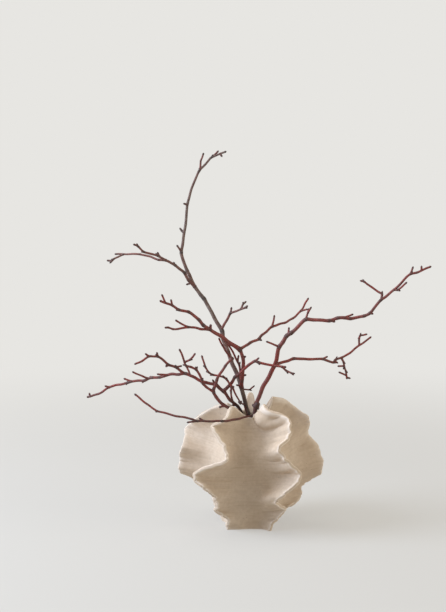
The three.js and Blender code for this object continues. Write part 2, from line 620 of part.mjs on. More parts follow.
function budsAlong(route, radii) {
  const buds = [];
  for (let i = 1; i < route.length - 1; i += 1) {
    const before = route[i].clone().sub(route[i - 1]).normalize();
    const after = route[i + 1].clone().sub(route[i]).normalize();
    const bend = THREE.MathUtils.radToDeg(before.angleTo(after));
    if (radii[i] < BUD_STEM && bend > BUD_BEND) {
      buds.push(makeBud(route[i], before, after, radii[i]));
    }
  }
  return buds;
}

// The place on the shoots made so far that is nearest to a point.
function nearestOn(routes, point) {
  const places = routes.flatMap((route) => route.slice(1).map((end, i) => {
    const stretch = new THREE.Line3(route[i], end);
    return stretch.closestPointToPoint(point, true, new THREE.Vector3());
  }));
  const distances = places.map((place) => place.distanceTo(point));
  return places[distances.indexOf(Math.min(...distances))];
}

// The first shoot goes on from the foot, and each later one starts on one before it.
function makeBranch({ foot, shoots }) {
  const routes = [];
  const solids = [];
  for (const { radii, seen } of shoots) {
    const outside = seen.map(seenAt);
    const route = routes.length === 0
      ? [...foot.map((point) => new THREE.Vector3(...point)), ...outside]
      : [nearestOn(routes, outside[0]), ...outside.slice(1)];
    const radiusAt = taper(route, radii);
    const outer = route.length - outside.length;
    solids.push(makeTwig(route, radiusAt, TWIG_SIDES));
    solids.push(...budsAlong(route.slice(outer), radiusAt.slice(outer)));
    routes.push(route);
  }
  return solids.reduce((whole, solid) => whole.add(solid));
}

// ---- The arrangement ----

function addPiece(group, name, solid, color, roughness) {
  const material = new THREE.MeshStandardMaterial({ color, roughness, metalness: 0 });
  const piece = new THREE.Mesh(geometryFrom(solid), material);
  piece.name = name;
  group.add(piece);
}

const arrangement = new THREE.Group();
addPiece(arrangement, 'vase', makeVase(), 0xc9b497, 0.9);
for (const [name, branch] of Object.entries(BRANCHES)) {
  addPiece(arrangement, name, makeBranch(branch), branch.color, 0.7);
}

export default arrangement;
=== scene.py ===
"""A spare arrangement of bare winter branches in a ruffled stoneware vase.

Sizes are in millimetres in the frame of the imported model: +Z up, the origin on the vase's
axis at its foot, the front along -Y. They become metres where a mesh or a light is made.
"""

import math
import random
from collections import namedtuple

import bmesh
import bpy
import numpy as np
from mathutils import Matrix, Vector, noise


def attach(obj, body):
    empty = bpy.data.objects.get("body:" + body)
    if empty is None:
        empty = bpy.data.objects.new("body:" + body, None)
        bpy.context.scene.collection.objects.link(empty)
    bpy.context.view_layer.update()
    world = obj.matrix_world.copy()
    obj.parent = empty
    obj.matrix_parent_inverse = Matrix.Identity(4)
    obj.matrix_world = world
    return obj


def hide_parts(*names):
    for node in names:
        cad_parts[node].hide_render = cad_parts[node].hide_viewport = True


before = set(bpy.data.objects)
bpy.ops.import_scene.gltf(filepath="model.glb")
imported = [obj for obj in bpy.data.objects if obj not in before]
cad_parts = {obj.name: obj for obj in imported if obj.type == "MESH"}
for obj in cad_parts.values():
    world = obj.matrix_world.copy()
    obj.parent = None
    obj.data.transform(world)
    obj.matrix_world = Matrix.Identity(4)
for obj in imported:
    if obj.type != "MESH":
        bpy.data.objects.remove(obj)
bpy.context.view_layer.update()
random.seed(7)

MM = 0.001

# ---- Camera ----

VIEWPOINT = np.array([-38.0, -2190.0, 626.0])
VIEW_TILT = math.radians(8.3)  # how far the camera looks down
IMAGE_HEIGHT = 612
FOCAL_LENGTH = 1612  # in pixels of the image
SENSOR = 36


def make_camera():
    lens = bpy.data.cameras.new("camera")
    lens.sensor_width = SENSOR
    lens.lens = FOCAL_LENGTH / IMAGE_HEIGHT * SENSOR
    camera = bpy.data.objects.new("camera", lens)
    camera.location = VIEWPOINT * MM
    camera.rotation_euler = (math.pi / 2 - VIEW_TILT, 0, 0)
    bpy.context.collection.objects.link(camera)
    bpy.context.scene.camera = camera


# ---- Meshes ----

ANY_START = (0, 6)  # radians, between which a wave's start is drawn


def curve_through(pairs):
    """A smooth curve through (position, value) pairs, as a function of positions."""
    where, value = np.array(pairs, float).T
    index = np.arange(len(where))
    before = np.maximum(index - 1, 0)
    after = np.minimum(index + 1, len(where) - 1)
    slope = (value[after] - value[before]) / (where[after] - where[before])

    def read(position):
        position = np.asarray(position, float)
        i = np.clip(np.searchsorted(where, position) - 1, 0, len(where) - 2)
        width = where[i + 1] - where[i]
        t = (position - where[i]) / width
        from_start = (1 + 2 * t) * (1 - t) ** 2 * value[i]
        from_end = t**2 * (3 - 2 * t) * value[i + 1]
        from_slopes = t * (1 - t) * width * ((1 - t) * slope[i] - t * slope[i + 1])
        return from_start + from_end + from_slopes

    return read


def smoothstep(value, low, high):
    t = np.clip((value - low) / (high - low), 0, 1)
    return t * t * (3 - 2 * t)


def bell(value):
    return np.exp(-(value**2))


def unit(vectors):
    return vectors / np.linalg.norm(vectors, axis=-1, keepdims=True)


def unevenness(points, size, shift=0):
    """Smooth noise at each point, about -0.5 to 0.5, in patches of this size."""
    return np.array([noise.noise(Vector(point / size + shift)) for point in points])


def distances_along(corners):
    """How far along their route each of these corners lies."""
    steps = np.linalg.norm(np.diff(corners, axis=0), axis=1)
    return np.concatenate([[0], np.cumsum(steps)])


def skin(rings, start, end):
    """Points and faces of one closed skin: rings of points, and a point to close each end."""
    count, around = rings.shape[:2]
    points = np.vstack([rings.reshape(-1, 3), start, end])
    first = len(points) - 2
    last = len(points) - 1
    i = np.arange(around)
    after = (i + 1) % around
    rows = (np.arange(count - 1) * around)[:, None]
    walls = np.stack([rows + i, rows + after, rows + around + after, rows + around + i], axis=-1)
    top = (count - 1) * around
    faces = walls.reshape(-1, 4).tolist()
    faces += [(first, int(b), int(a)) for a, b in zip(i, after)]
    faces += [(last, int(top + a), int(top + b)) for a, b in zip(i, after)]
    return points, faces


def mesh_object(name, points, faces):
    mesh = bpy.data.meshes.new(name)
    mesh.from_pydata((points * MM).tolist(), [], faces)
    piece = bpy.data.objects.new(name, mesh)
    bpy.context.collection.objects.link(piece)
    return piece


def set_values(mesh, name, values):
    """Stores a number for each vertex, for the materials to read."""
    layer = mesh.attributes.new(name, "FLOAT", "POINT")
    layer.data.foreach_set("value", np.asarray(values, np.float32))


def finish_piece(piece, node, material, crease):
    """Shades the piece, with edges sharper than the crease left sharp, and sets it on its body."""
    piece.data.materials.clear()
    piece.data.materials.append(material)
    piece.data.shade_smooth()
    piece.data.set_sharp_from_angle(angle=math.radians(crease))
    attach(piece, "root")
    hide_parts(node)


# ---- The vase ----

FIN_SPACING = 72  # degrees between neighbouring fins
FIRST_FIN = -124  # degrees, the fin at the front left
FIN_EDGE = 4.5  # thickness of a fin at its flat-cut edge
FIN_EDGE_TOP = [6.5, 9, 9, 12, 9]  # and at the top of each fin, beside the mouth
TOP_PART = 0.14  # part of the fin's height where its edge grows to that
FOOT_PART = 0.06  # part of the height where a fin still stands square on the foot
ROOT_PART = (0.15, 0.6)  # part of a fin's width where it turns square to its ruffle
EDGE_ROUNDING = 1.3  # radius of the two softened corners of that edge
TOP_ROUNDING = 0.42  # and at the fin's top, as a part of the thickness there
SWAY_POWER = 1.7  # how late the fin's sway sets in, from the flute out to the edge
RISE_POWER = 1.6  # and how late it rises above the lip
LIP_HEIGHT = 155
LIP_ROUNDING = 1.6
BRIM_PARTS = 2.5  # a rounding takes at most one such part of the brim's width
FOOT_ROUNDING = 0.8
FOOT_INSET = (0.9, 0.9, 1)  # from the foot's outline to a line on its underside
MOUTH_RADIUS = 19
HOLLOW_FLOOR = 6
VASE_CREASE = 60  # degrees

# How finely the vase is drawn.
WALL_ROWS = 250
FACE_STEPS = 20  # along a fin's face, from the flute to the edge
CORNER_STEPS = 4  # around a softened corner
FOOT_STEPS = 3
BRIM_STEPS = 5  # across the brim, from the crest to the mouth
HOLLOW_ROWS = 70
EDGE_ROWS = 3  # rows of the wall that the roundings at its foot and crest stand for
LIP_ROWS = 2  # rows of the hollow that the lip's rounding stands for
HALVINGS = 30  # steps of the search for the brim's inner edge
SLOPE_STEP = 0.002  # part of the fin over which its slope is measured

# The bottom of the flutes: (height, distance from the axis).
FLUTE = [(0, 33), (15, 33), (40, 38), (70, 44), (95, 44), (120, 37), (140, 28), (155, 24)]

# The hollow inside, from the top down to the floor: (distance from the axis, height).
HOLLOW = [
    (37, 184), (31, 175), (26, 166), (21.5, 158), (MOUTH_RADIUS, 152), (22.5, 140),
    (31, 120), (38, 96), (38, 68), (32, 40), (27, 11), (22, HOLLOW_FLOOR),
]

# The edge of each fin, from the foot to its top: [height, reach from the axis, sway to the side].
# A positive sway is anticlockwise as seen from above.
FINS = [
    [  # front left
        [0, 47, -8], [7, 48.5, -7.5], [17, 55, -1], [25, 65, -4], [31.5, 72, -10.5],
        [39.5, 73.5, -7], [49, 79, -5], [60.5, 92, -3], [71, 101, -12], [79, 103.5, -22],
        [87, 103, -25], [92.5, 101, -18.5], [98, 98.5, -8.5], [103, 96.5, 4.5], [106.5, 94.5, 16],
        [112, 91, 21], [119.5, 87, 18], [128, 84.5, 12], [134.5, 82, 4], [141, 79.5, -5],
        [147, 76.5, -12], [151.5, 73.5, -13], [156, 67, -6], [160.5, 56, -3], [165.5, 48, -6],
        [169, 41, -9], [171.5, 34, -9],
    ],
    [  # front right
        [0, 50, -5], [7, 51, -3], [12.5, 53.5, -1.5], [17.5, 57.5, 2.5], [24.5, 63.5, 4.5],
        [31, 68, 6.5], [36, 71, 3.5], [41, 72.5, -6], [46, 76, -14.5], [51.5, 80, -16.5],
        [60, 91, -15.5], [70, 99.5, -11], [77, 103, -3.5], [83, 103, 1.5], [89, 102, 2],
        [94.5, 100.5, 1], [98.5, 98.5, -4], [104, 96.5, -10.5], [110, 93.5, -15], [116, 90, -17],
        [121, 87.5, -19], [127, 86, -18], [131.5, 85, -11], [135, 84, -2.5], [140.5, 82, 4],
        [147, 79, 6], [154.5, 75, 7.5], [160, 68, 9], [163, 60.5, 7], [165.5, 54.5, 1.5],
        [168, 48, -4], [170.5, 41, -5.5], [173.5, 35, -3], [177, 28, 0],
    ],
    [  # right
        [0, 38, 0], [8, 40, 0], [15, 46, -4], [21, 56.5, -9], [25, 66, -9], [32, 73.5, -8],
        [37.5, 76, -5.5], [43.5, 77, -2], [49, 82, 0.5], [56, 91.5, -2.5], [62, 98.5, -8.5],
        [67, 102, -13.5], [77, 105, -13], [83, 106.5, -9.5], [89.5, 105, -4.5], [95.5, 105, -0.5],
        [102, 104, 4], [106.5, 101, 8], [111.5, 97, 12.5], [117, 92.5, 11.5], [123.5, 90, 9],
        [133.5, 86.5, -5], [141, 84.5, -10.5], [146.5, 83.5, -11], [150, 81.5, -10],
        [153, 76.5, -8], [156, 72.5, -5], [160.5, 67.5, -1.5], [165, 62, 1], [170, 56, 3],
        [175, 46, 0], [178, 33, 0],
    ],
    [  # back
        [0, 44, 0], [8, 48, 3], [16, 57, 6], [28, 68, -6], [38, 74, -11], [48, 79, -2],
        [57, 90, 10], [67, 101, 14], [77, 104, 2], [87, 103, -14], [97, 100, -18], [107, 96, -6],
        [117, 91, 12], [127, 87, 16], [137, 84, 4], [147, 78, -10], [157, 68, -9], [167, 56, -2],
        [175, 43, -2], [179, 34, -2],
    ],
    [  # left
        [0, 41, 0], [8, 44, 1], [16, 48, 3], [25, 52, 4], [35, 56, 2], [45, 63, -3],
        [54, 78, -9], [61, 94, -6], [67, 100, 5], [75, 102, 11], [84, 101, 5], [94, 101, 8],
        [104, 97, 12], [115, 97, -2], [126, 99, -14], [137, 88, -8], [148, 76, 3], [157, 64, 6],
        [163, 53, 2], [167, 43, 0], [169, 34, 0],
    ],
]

# Pushed-in places and bulges of a fin's sheet, by the fin's place in FINS:
# [height at the edge, place from the flute at 0 to the edge at 1, push to the side, half its
# height, half its width].
FOLDS = {
    0: [[100.5, 0.3, -1.2, 1.3, 0.25], [76, 0.5, 1.2, 2.5, 0.3], [128, 0.5, -1.2, 3, 0.3]],
    1: [
        [165, 0.42, -9.5, 8, 0.22], [155.5, 0.75, 5.5, 4.5, 0.3], [124, 0.62, -5, 8, 0.28],
        [107, 0.72, 4.5, 6, 0.3], [86, 0.65, 6, 9, 0.35], [53, 0.5, -10, 10, 0.32],
        [164.5, 0.8, 2.8, 2.4, 0.24], [112.5, 0.55, 1.7, 2.8, 0.3], [92.5, 0.55, 1.8, 3.2, 0.3],
        [60, 0.72, -4, 6, 0.24], [139, 0.6, -1.5, 2.5, 0.25], [30, 0.5, 1.5, 3, 0.3],
    ],
}

# The small ripples that fingers left along each fin's edge: (spacing, depth).
RIPPLES = [(14.3, 0.8), (9.1, 0.8), (5.7, 0.4)]
RIPPLE_POWER = 7  # how fast they die out from the edge towards the body

# The clay's own unevenness: (size across, depth) of hand-made hollows and of fine lumps.
HOLLOWS = (34, 0.5)
LUMPS = (10, 0.32)

# The lines left by throwing: (spacing, depth). They wander, and come and go.
THROWING_LINES = [(2.6, 0.05), (3.7, 0.08), (5.6, 0.08)]
WANDER = (30, 1.6)  # (size across, how far)
FADING = (22, 9)  # (size across, shift from the wandering's patches)
STRENGTH = (0.55, 0.9)  # (mean, how far it fades)
BRIM_LINES = (175, 176, 177)  # one line each at the crest, brim and lip, past the wall's heights
HOLLOW_LINES = 11.3  # shift of the lines in the hollow from those outside
IN_HOLLOW = -1  # marks the hollow until its lines are set

# Amounts of the wear mask, whose pale colour is also painted highlight along the rounded edges,
# crest, lip and foot.
FACE_WEAR_AND_HIGHLIGHT = (0.25, 0.7)  # wear and painted highlight on the last two lines of a fin's face
FOOT_WEAR_AND_HIGHLIGHT = 0.4
BRIM_WEAR_AND_HIGHLIGHT = 0.1
LIP_WEAR_AND_HIGHLIGHT = 0.8  # beside the crest's
CUT_CREST = [0, 0.3, 0.6, 1, 1]  # how cut each row of its rounding is
CUT_LIP = [1, 0.8, 0.5, 0.3, 0.2]
CUT_HOLLOW = 0.2
WORN_CALM = 0.6  # how far wear evens out the clay's unevenness
FOOT_CALM = 3  # height of the even band at the foot

half_spacing = math.radians(FIN_SPACING / 2)
flute_radius = curve_through(FLUTE)


def fin_root(rise):
    """How far out the sheets of the fins begin."""
    return flute_radius(rise * LIP_HEIGHT) * math.cos(half_spacing)


class Fin:
    """A sheet of clay from the bottom of the flutes out to its ruffled edge."""

    def __init__(self, number):
        rows = FINS[number]
        azimuth = math.radians(FIRST_FIN + FIN_SPACING * number)
        self.outward = np.array([math.cos(azimuth), math.sin(azimuth), 0])
        self.sideways = np.array([-math.sin(azimuth), math.cos(azimuth), 0])
        self.top = rows[-1][0]
        self.edge_top = FIN_EDGE_TOP[number]
        self.reach = curve_through([(height, reach) for height, reach, sway in rows])
        self.sway = curve_through([(height, sway) for height, reach, sway in rows])
        self.folds = FOLDS.get(number, [])
        self.ripples = [(*ripple, random.uniform(*ANY_START)) for ripple in RIPPLES]

    def middle(self, rise, out):
        """The middle of the sheet: rise from foot to top, out from flute to edge, both 0 to 1."""
        root = fin_root(rise)
        along = rise * self.top
        distance = root + (self.reach(along) - root) * out
        lean = out**RISE_POWER
        height = rise * LIP_HEIGHT * (1 - lean) + along * lean
        sway = self.sway(along) * out**SWAY_POWER
        ruffled = smoothstep(rise, 0, FOOT_PART) * (1 - smoothstep(rise, 1 - TOP_PART, 1))
        ruffled = ruffled * out**RIPPLE_POWER
        for spacing, depth, start in self.ripples:
            sway = sway + ruffled * depth * np.sin(along * 2 * math.pi / spacing + start)
        for at, place, push, tall, wide in self.folds:
            apart = ((along - at) / tall) ** 2 + ((out - place) / wide) ** 2
            sway = sway + push * np.exp(-apart)
        point = distance[..., None] * self.outward + sway[..., None] * self.sideways
        point[..., 2] = height
        return point

    def thick_way(self, rise, out):
        """The direction in which the sheet is thick: plainly sideways near its root."""
        low = np.maximum(rise - SLOPE_STEP, 0)
        high = np.minimum(rise + SLOPE_STEP, 1)
        near = np.maximum(out - SLOPE_STEP, 0)
        upward = self.middle(high, out) - self.middle(low, out)
        along = self.middle(rise, out + SLOPE_STEP) - self.middle(rise, near)
        square = unit(np.cross(upward, along))
        square[..., 2] *= smoothstep(rise, 0, FOOT_PART)
        turn = smoothstep(out, *ROOT_PART)[..., None]
        return unit(self.sideways * (1 - turn) + square * turn)

    def length(self, rise):
        return self.reach(rise * self.top) - fin_root(rise)

    def half_thickness(self, rise, out):
        """As wide as the flutes leave it at the root, and thin at the edge."""
        thickening = smoothstep(rise, 1 - TOP_PART, 1)
        edge = (FIN_EDGE + (self.edge_top - FIN_EDGE) * thickening) / 2
        extra = flute_radius(rise * LIP_HEIGHT) * math.sin(half_spacing) - edge
        power = self.length(rise) / math.tan(half_spacing) / extra
        return edge + extra * (1 - np.minimum(out, 1)) ** power

    def rows(self, rises):
        """Points of the fin in each row, with how worn and how cut the clay is there; the wear mask
        also carries painted highlight on the rounded edge.
        """
        rise = rises[:, None]
        top_rounding = TOP_ROUNDING * self.edge_top
        thickening = smoothstep(rise, 1 - TOP_PART, 1)
        rounding = EDGE_ROUNDING + (top_rounding - EDGE_ROUNDING) * thickening
        corner = rounding / self.length(rise)
        face = np.linspace(0, 1, FACE_STEPS + 1)[None, :]
        turn = np.linspace(0, math.pi / 2, CORNER_STEPS + 1)[None, 1:]
        plain = np.zeros((len(rise), FACE_STEPS + 1))
        out = np.hstack([face * (1 - corner), 1 - corner * (1 - np.sin(turn))])
        trim = np.hstack([plain, rounding * (1 - np.cos(turn))])
        # The wear peaks in the middle of each rounded corner, where its pale colour is a painted
        # highlight along the edge.
        wear_and_highlight = np.hstack([plain, np.sin(2 * turn) + corner * 0])
        wear_and_highlight[:, FACE_STEPS - 1 : FACE_STEPS + 1] = FACE_WEAR_AND_HIGHLIGHT
        cut = np.hstack([plain, 1 - np.cos(turn) + corner * 0])
        rise = rise + out * 0
        middle = self.middle(rise, out)
        offset = self.thick_way(rise, out) * (self.half_thickness(rise, out) - trim)[..., None]
        far = (middle + offset)[:, :0:-1]
        points = np.concatenate([middle - offset, far], axis=1)
        both = [np.hstack([mask, mask[:, :0:-1]]) for mask in (wear_and_highlight, cut)]
        return points, *both


def brim_inner_edge(crest):
    """Where the line from each point of the crest to the mouth's middle meets the hollow."""
    radii, heights = np.array(HOLLOW[::-1], float).T
    centre = np.array([0, 0, LIP_HEIGHT], float)
    near = np.zeros(len(crest))
    far = np.ones(len(crest))
    for _ in range(HALVINGS):
        part = (near + far) / 2
        place = crest + (centre - crest) * part[:, None]
        inside = np.hypot(place[:, 0], place[:, 1]) < np.interp(place[:, 2], heights, radii)
        far = np.where(inside, part, far)
        near = np.where(inside, near, part)
    return crest + (centre - crest) * near[:, None]


def hollow_rows(inner):
    """Rows of points down the hollow, from below the brim's inner edge to the floor."""
    azimuth = np.arctan2(inner[:, 1], inner[:, 0])
    profile = np.array(HOLLOW, float)
    radii, heights = profile.T
    travelled = distances_along(profile)
    start = np.interp(-inner[:, 2], -heights, travelled)
    below = np.linspace(0, 1, HOLLOW_ROWS + 1)[1:, None]
    place = start + (travelled[-1] - start) * below
    radius = np.interp(place, travelled, radii)
    height = np.interp(place, travelled, heights)
    return np.stack([radius * np.cos(azimuth), radius * np.sin(azimuth), height], axis=-1)


def rounded_corner(before, corner, after, radius, steps):
    """Rows of points that round off a corner between the points before and after it."""
    start = corner + unit(before - corner) * radius
    end = corner + unit(after - corner) * radius
    parts = np.linspace(0, 1, steps + 1)[:, None, None]
    return (1 - parts) ** 2 * start + 2 * parts * (1 - parts) * corner + parts**2 * end


def clay_surface(points, normals, calm, lines):
    """Moves the points a little, as hands and the wheel leave the clay."""
    moved = sum(depth * unevenness(points, size) for size, depth in (HOLLOWS, LUMPS))
    across = lines + unevenness(points, WANDER[0]) * WANDER[1]
    strength = STRENGTH[0] + STRENGTH[1] * unevenness(points, *FADING)
    for spacing, depth in THROWING_LINES:
        moved += depth * strength * np.sin(across * 2 * math.pi / spacing)
    return points + normals * (moved * (1 - calm))[:, None]


def make_vase():
    fins = [Fin(number) for number in range(len(FINS))]
    rises = np.linspace(0, 1, WALL_ROWS + 1)
    parts = [fin.rows(rises) for fin in fins]
    wall, wear_and_highlight, cut = (np.concatenate([part[k] for part in parts], axis=1) for k in range(3))
    wall[0, :, 2] = 0
    body = slice(EDGE_ROWS, -EDGE_ROWS)
    above_foot = wall[EDGE_ROWS + 1]
    below_crest = wall[-EDGE_ROWS - 1]
    crest = wall[-1]
    inner = brim_inner_edge(crest)
    inside = hollow_rows(inner)

    width = np.linalg.norm(inner - crest, axis=1)
    radius = np.minimum(LIP_ROUNDING, width / BRIM_PARTS)[:, None]
    foot = rounded_corner(wall[0] * FOOT_INSET, wall[0], above_foot, FOOT_ROUNDING, FOOT_STEPS)
    top = rounded_corner(below_crest, crest, inner, radius, CORNER_STEPS)
    lip = rounded_corner(crest, inner, inside[LIP_ROWS], radius, CORNER_STEPS)
    across = np.linspace(0, 1, BRIM_STEPS)[1:-1, None, None]
    brim = top[-1] + (lip[0] - top[-1]) * across
    bands = [foot, wall[body], top, brim, lip, inside[LIP_ROWS:]]
    points, faces = skin(np.concatenate(bands), (0, 0, 0), (0, 0, HOLLOW_FLOOR))

    def per_point(*values):
        """Takes a number, a number for each row or a full grid for each of the six bands."""
        rows = []
        for band, value in zip(bands, values):
            value = np.asarray(value, float)
            if value.ndim == 1:
                value = value[:, None]
            rows.append(np.broadcast_to(value, band.shape[:2]).ravel())
        return np.concatenate([*rows, [values[0], values[-1]]])

    arch = np.sin(np.linspace(0, math.pi, CORNER_STEPS + 1))
    mean_top = np.mean([fin.top for fin in fins])
    # Wear on the foot, crest and lip, painted pale there as highlight on the rounded edges.
    wear_and_highlight = per_point(FOOT_WEAR_AND_HIGHLIGHT, wear_and_highlight[body], arch, BRIM_WEAR_AND_HIGHLIGHT, arch * LIP_WEAR_AND_HIGHLIGHT, 0)
    cut = per_point(0, cut[body], CUT_CREST, 1, CUT_LIP, CUT_HOLLOW)
    lines = per_point(0, rises[body] * mean_top, *BRIM_LINES, IN_HOLLOW)
    lines = np.where(lines == IN_HOLLOW, points[:, 2] + HOLLOW_LINES, lines)

    vase = mesh_object("stoneware_vase", points, faces)
    normals = np.zeros(len(points) * 3)
    vase.data.vertex_normals.foreach_get("vector", normals)
    even_foot = smoothstep(FOOT_CALM - points[:, 2], 0, FOOT_CALM)
    calm = np.clip(np.maximum(wear_and_highlight * WORN_CALM, even_foot), 0, 1)
    shaped = clay_surface(points, normals.reshape(-1, 3), calm, lines)
    vase.data.vertices.foreach_set("co", (shaped * MM).ravel())
    for name, values in (("wear_and_highlight", wear_and_highlight), ("cut", cut), ("throwing", lines)):
        set_values(vase.data, name, values)
    finish_piece(vase, "vase", stoneware_material(), VASE_CREASE)


# ---- The branches ----

# The bark's colour along a shoot, from old grey to young red.
GREY, BROWN, RED = 0.08, 0.5, 0.95
BARK_CHANGE = (0.12, 21)  # how much it comes and goes along a shoot, and a radian of that
BROWNING = 0.15  # how much browner a thick red stem is
THICK = (2, 3.2)  # radii between which it turns so

ROUND = 1.12  # a round stem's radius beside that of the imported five-sided one
MOUTH = np.array([0, 0, 158])
OUTSIDE_EXTRA = 0.32  # added to a stem's radius away from the mouth
OUTSIDE = (20, 50)  # distances from the mouth between which that grows
ABOVE = (105, 125)  # heights between which it grows, so that the feet stay slim
BARK_CREASE = 50  # degrees
BARK_LUMPS = [(5, 0.05), (1.8, 0.04)]  # (size across, part of the radius)
SIDES = [(2, 16), (1.3, 12), (0, 10)]  # (radius from which it holds, sides of the stem)

STEM_STEP = 0.8  # length of a step beside the stem's radius
STEP_RANGE = (0.75, 2.2)
LEAST_STEPS = 3
LEAST_BODY = 0.4  # the part of a very short shoot that isn't its tip
BEND_SOFTNESS = 1.1  # rounding of a bend beside the stem's radius
SOFTENING = np.linspace(-1.5, 1.5, 9)  # where a rounding samples the route, beside its size
WAVE_DEPTH = 0.28  # of the small waves in a shoot
WAVE_LENGTHS = (16, 34)
WAVE_START = (4, 16)  # distances from the shoot's start between which they set in
WAVE_END = (0, 8)  # and from its tip

NODE_BENDS = (4.5, 22.5)  # degrees of bend between which a node grows swollen and dark
NODE_SWELLING = 0.22
NODE_LENGTH = 1.1  # of the swelling, beside the radius
NODE_SHADE = 1.6  # how far a node's dark bark goes on towards the tip
COLLAR = 0.5  # swelling where a shoot leaves its parent
COLLAR_LENGTH = 1.3  # beside the radius
COLLAR_SHADE = 2  # length of its dark bark, beside the radius
STUB_RADIUS = 1.15  # a short shoot that ends thicker than this is a stub or a knob
STUB_LENGTH = 30
TIP_LENGTH = 3.4
TIP_SHADE = 0.9
TIP_FADE = 1.2  # length over which the bark darkens at the tip
BUD_BEND = 16  # degrees: a sharper bend than this carries a bud
BUD_STEM = 2.25  # only where the stem's radius is less than this
BUD_LEAN = 1.5
BUD_CURVE = 0.7
BUD_SHADE = 0.55
BUD_LENGTH = (1.6, 2.8)  # from the bark to the bud's tip
BUD_RADIUS = (1.05, 1.35)
FORK_SMOOTHING = 3  # rounds of smoothing at a fork
UNTOUCHED = 0.999  # points with less of the "grown" mark are new ones at a fork

# A bud's outline: (part of its length, part of its radius), with the steps of its scales.
BUD_OUTLINE = [
    (-0.3, 0.6), (0, 0.85), (0.14, 1.0), (0.3, 1.08), (0.34, 0.98), (0.52, 0.93),
    (0.58, 0.8), (0.8, 0.5), (0.93, 0.24), (1, 0.07),
]

# The end of a shoot: (distance from the tip, part of the radius).
TIP_OUTLINE = [
    (0, 0.12), (0.4, 0.45), (1.0, 0.8), (1.7, 1.08), (2.2, 1.15), (2.6, 1.05), (TIP_LENGTH, 1),
]
STUB_OUTLINE = [(0, 0.55), (0.15, 0.75), (0.5, 0.93), (1.1, 1.0), (TIP_LENGTH, 1)]

# A shoot has the radius of its start, its points, the radius of its end and its bark. Its points
# are [across, up, back]: across and up as seen from the viewpoint, in the plane through the vase's
# axis, and back the depth behind that axis. The first shoot of a branch goes on from its foot.
Shoot = namedtuple("Shoot", "start seen end bark", defaults=[0.8, RED])

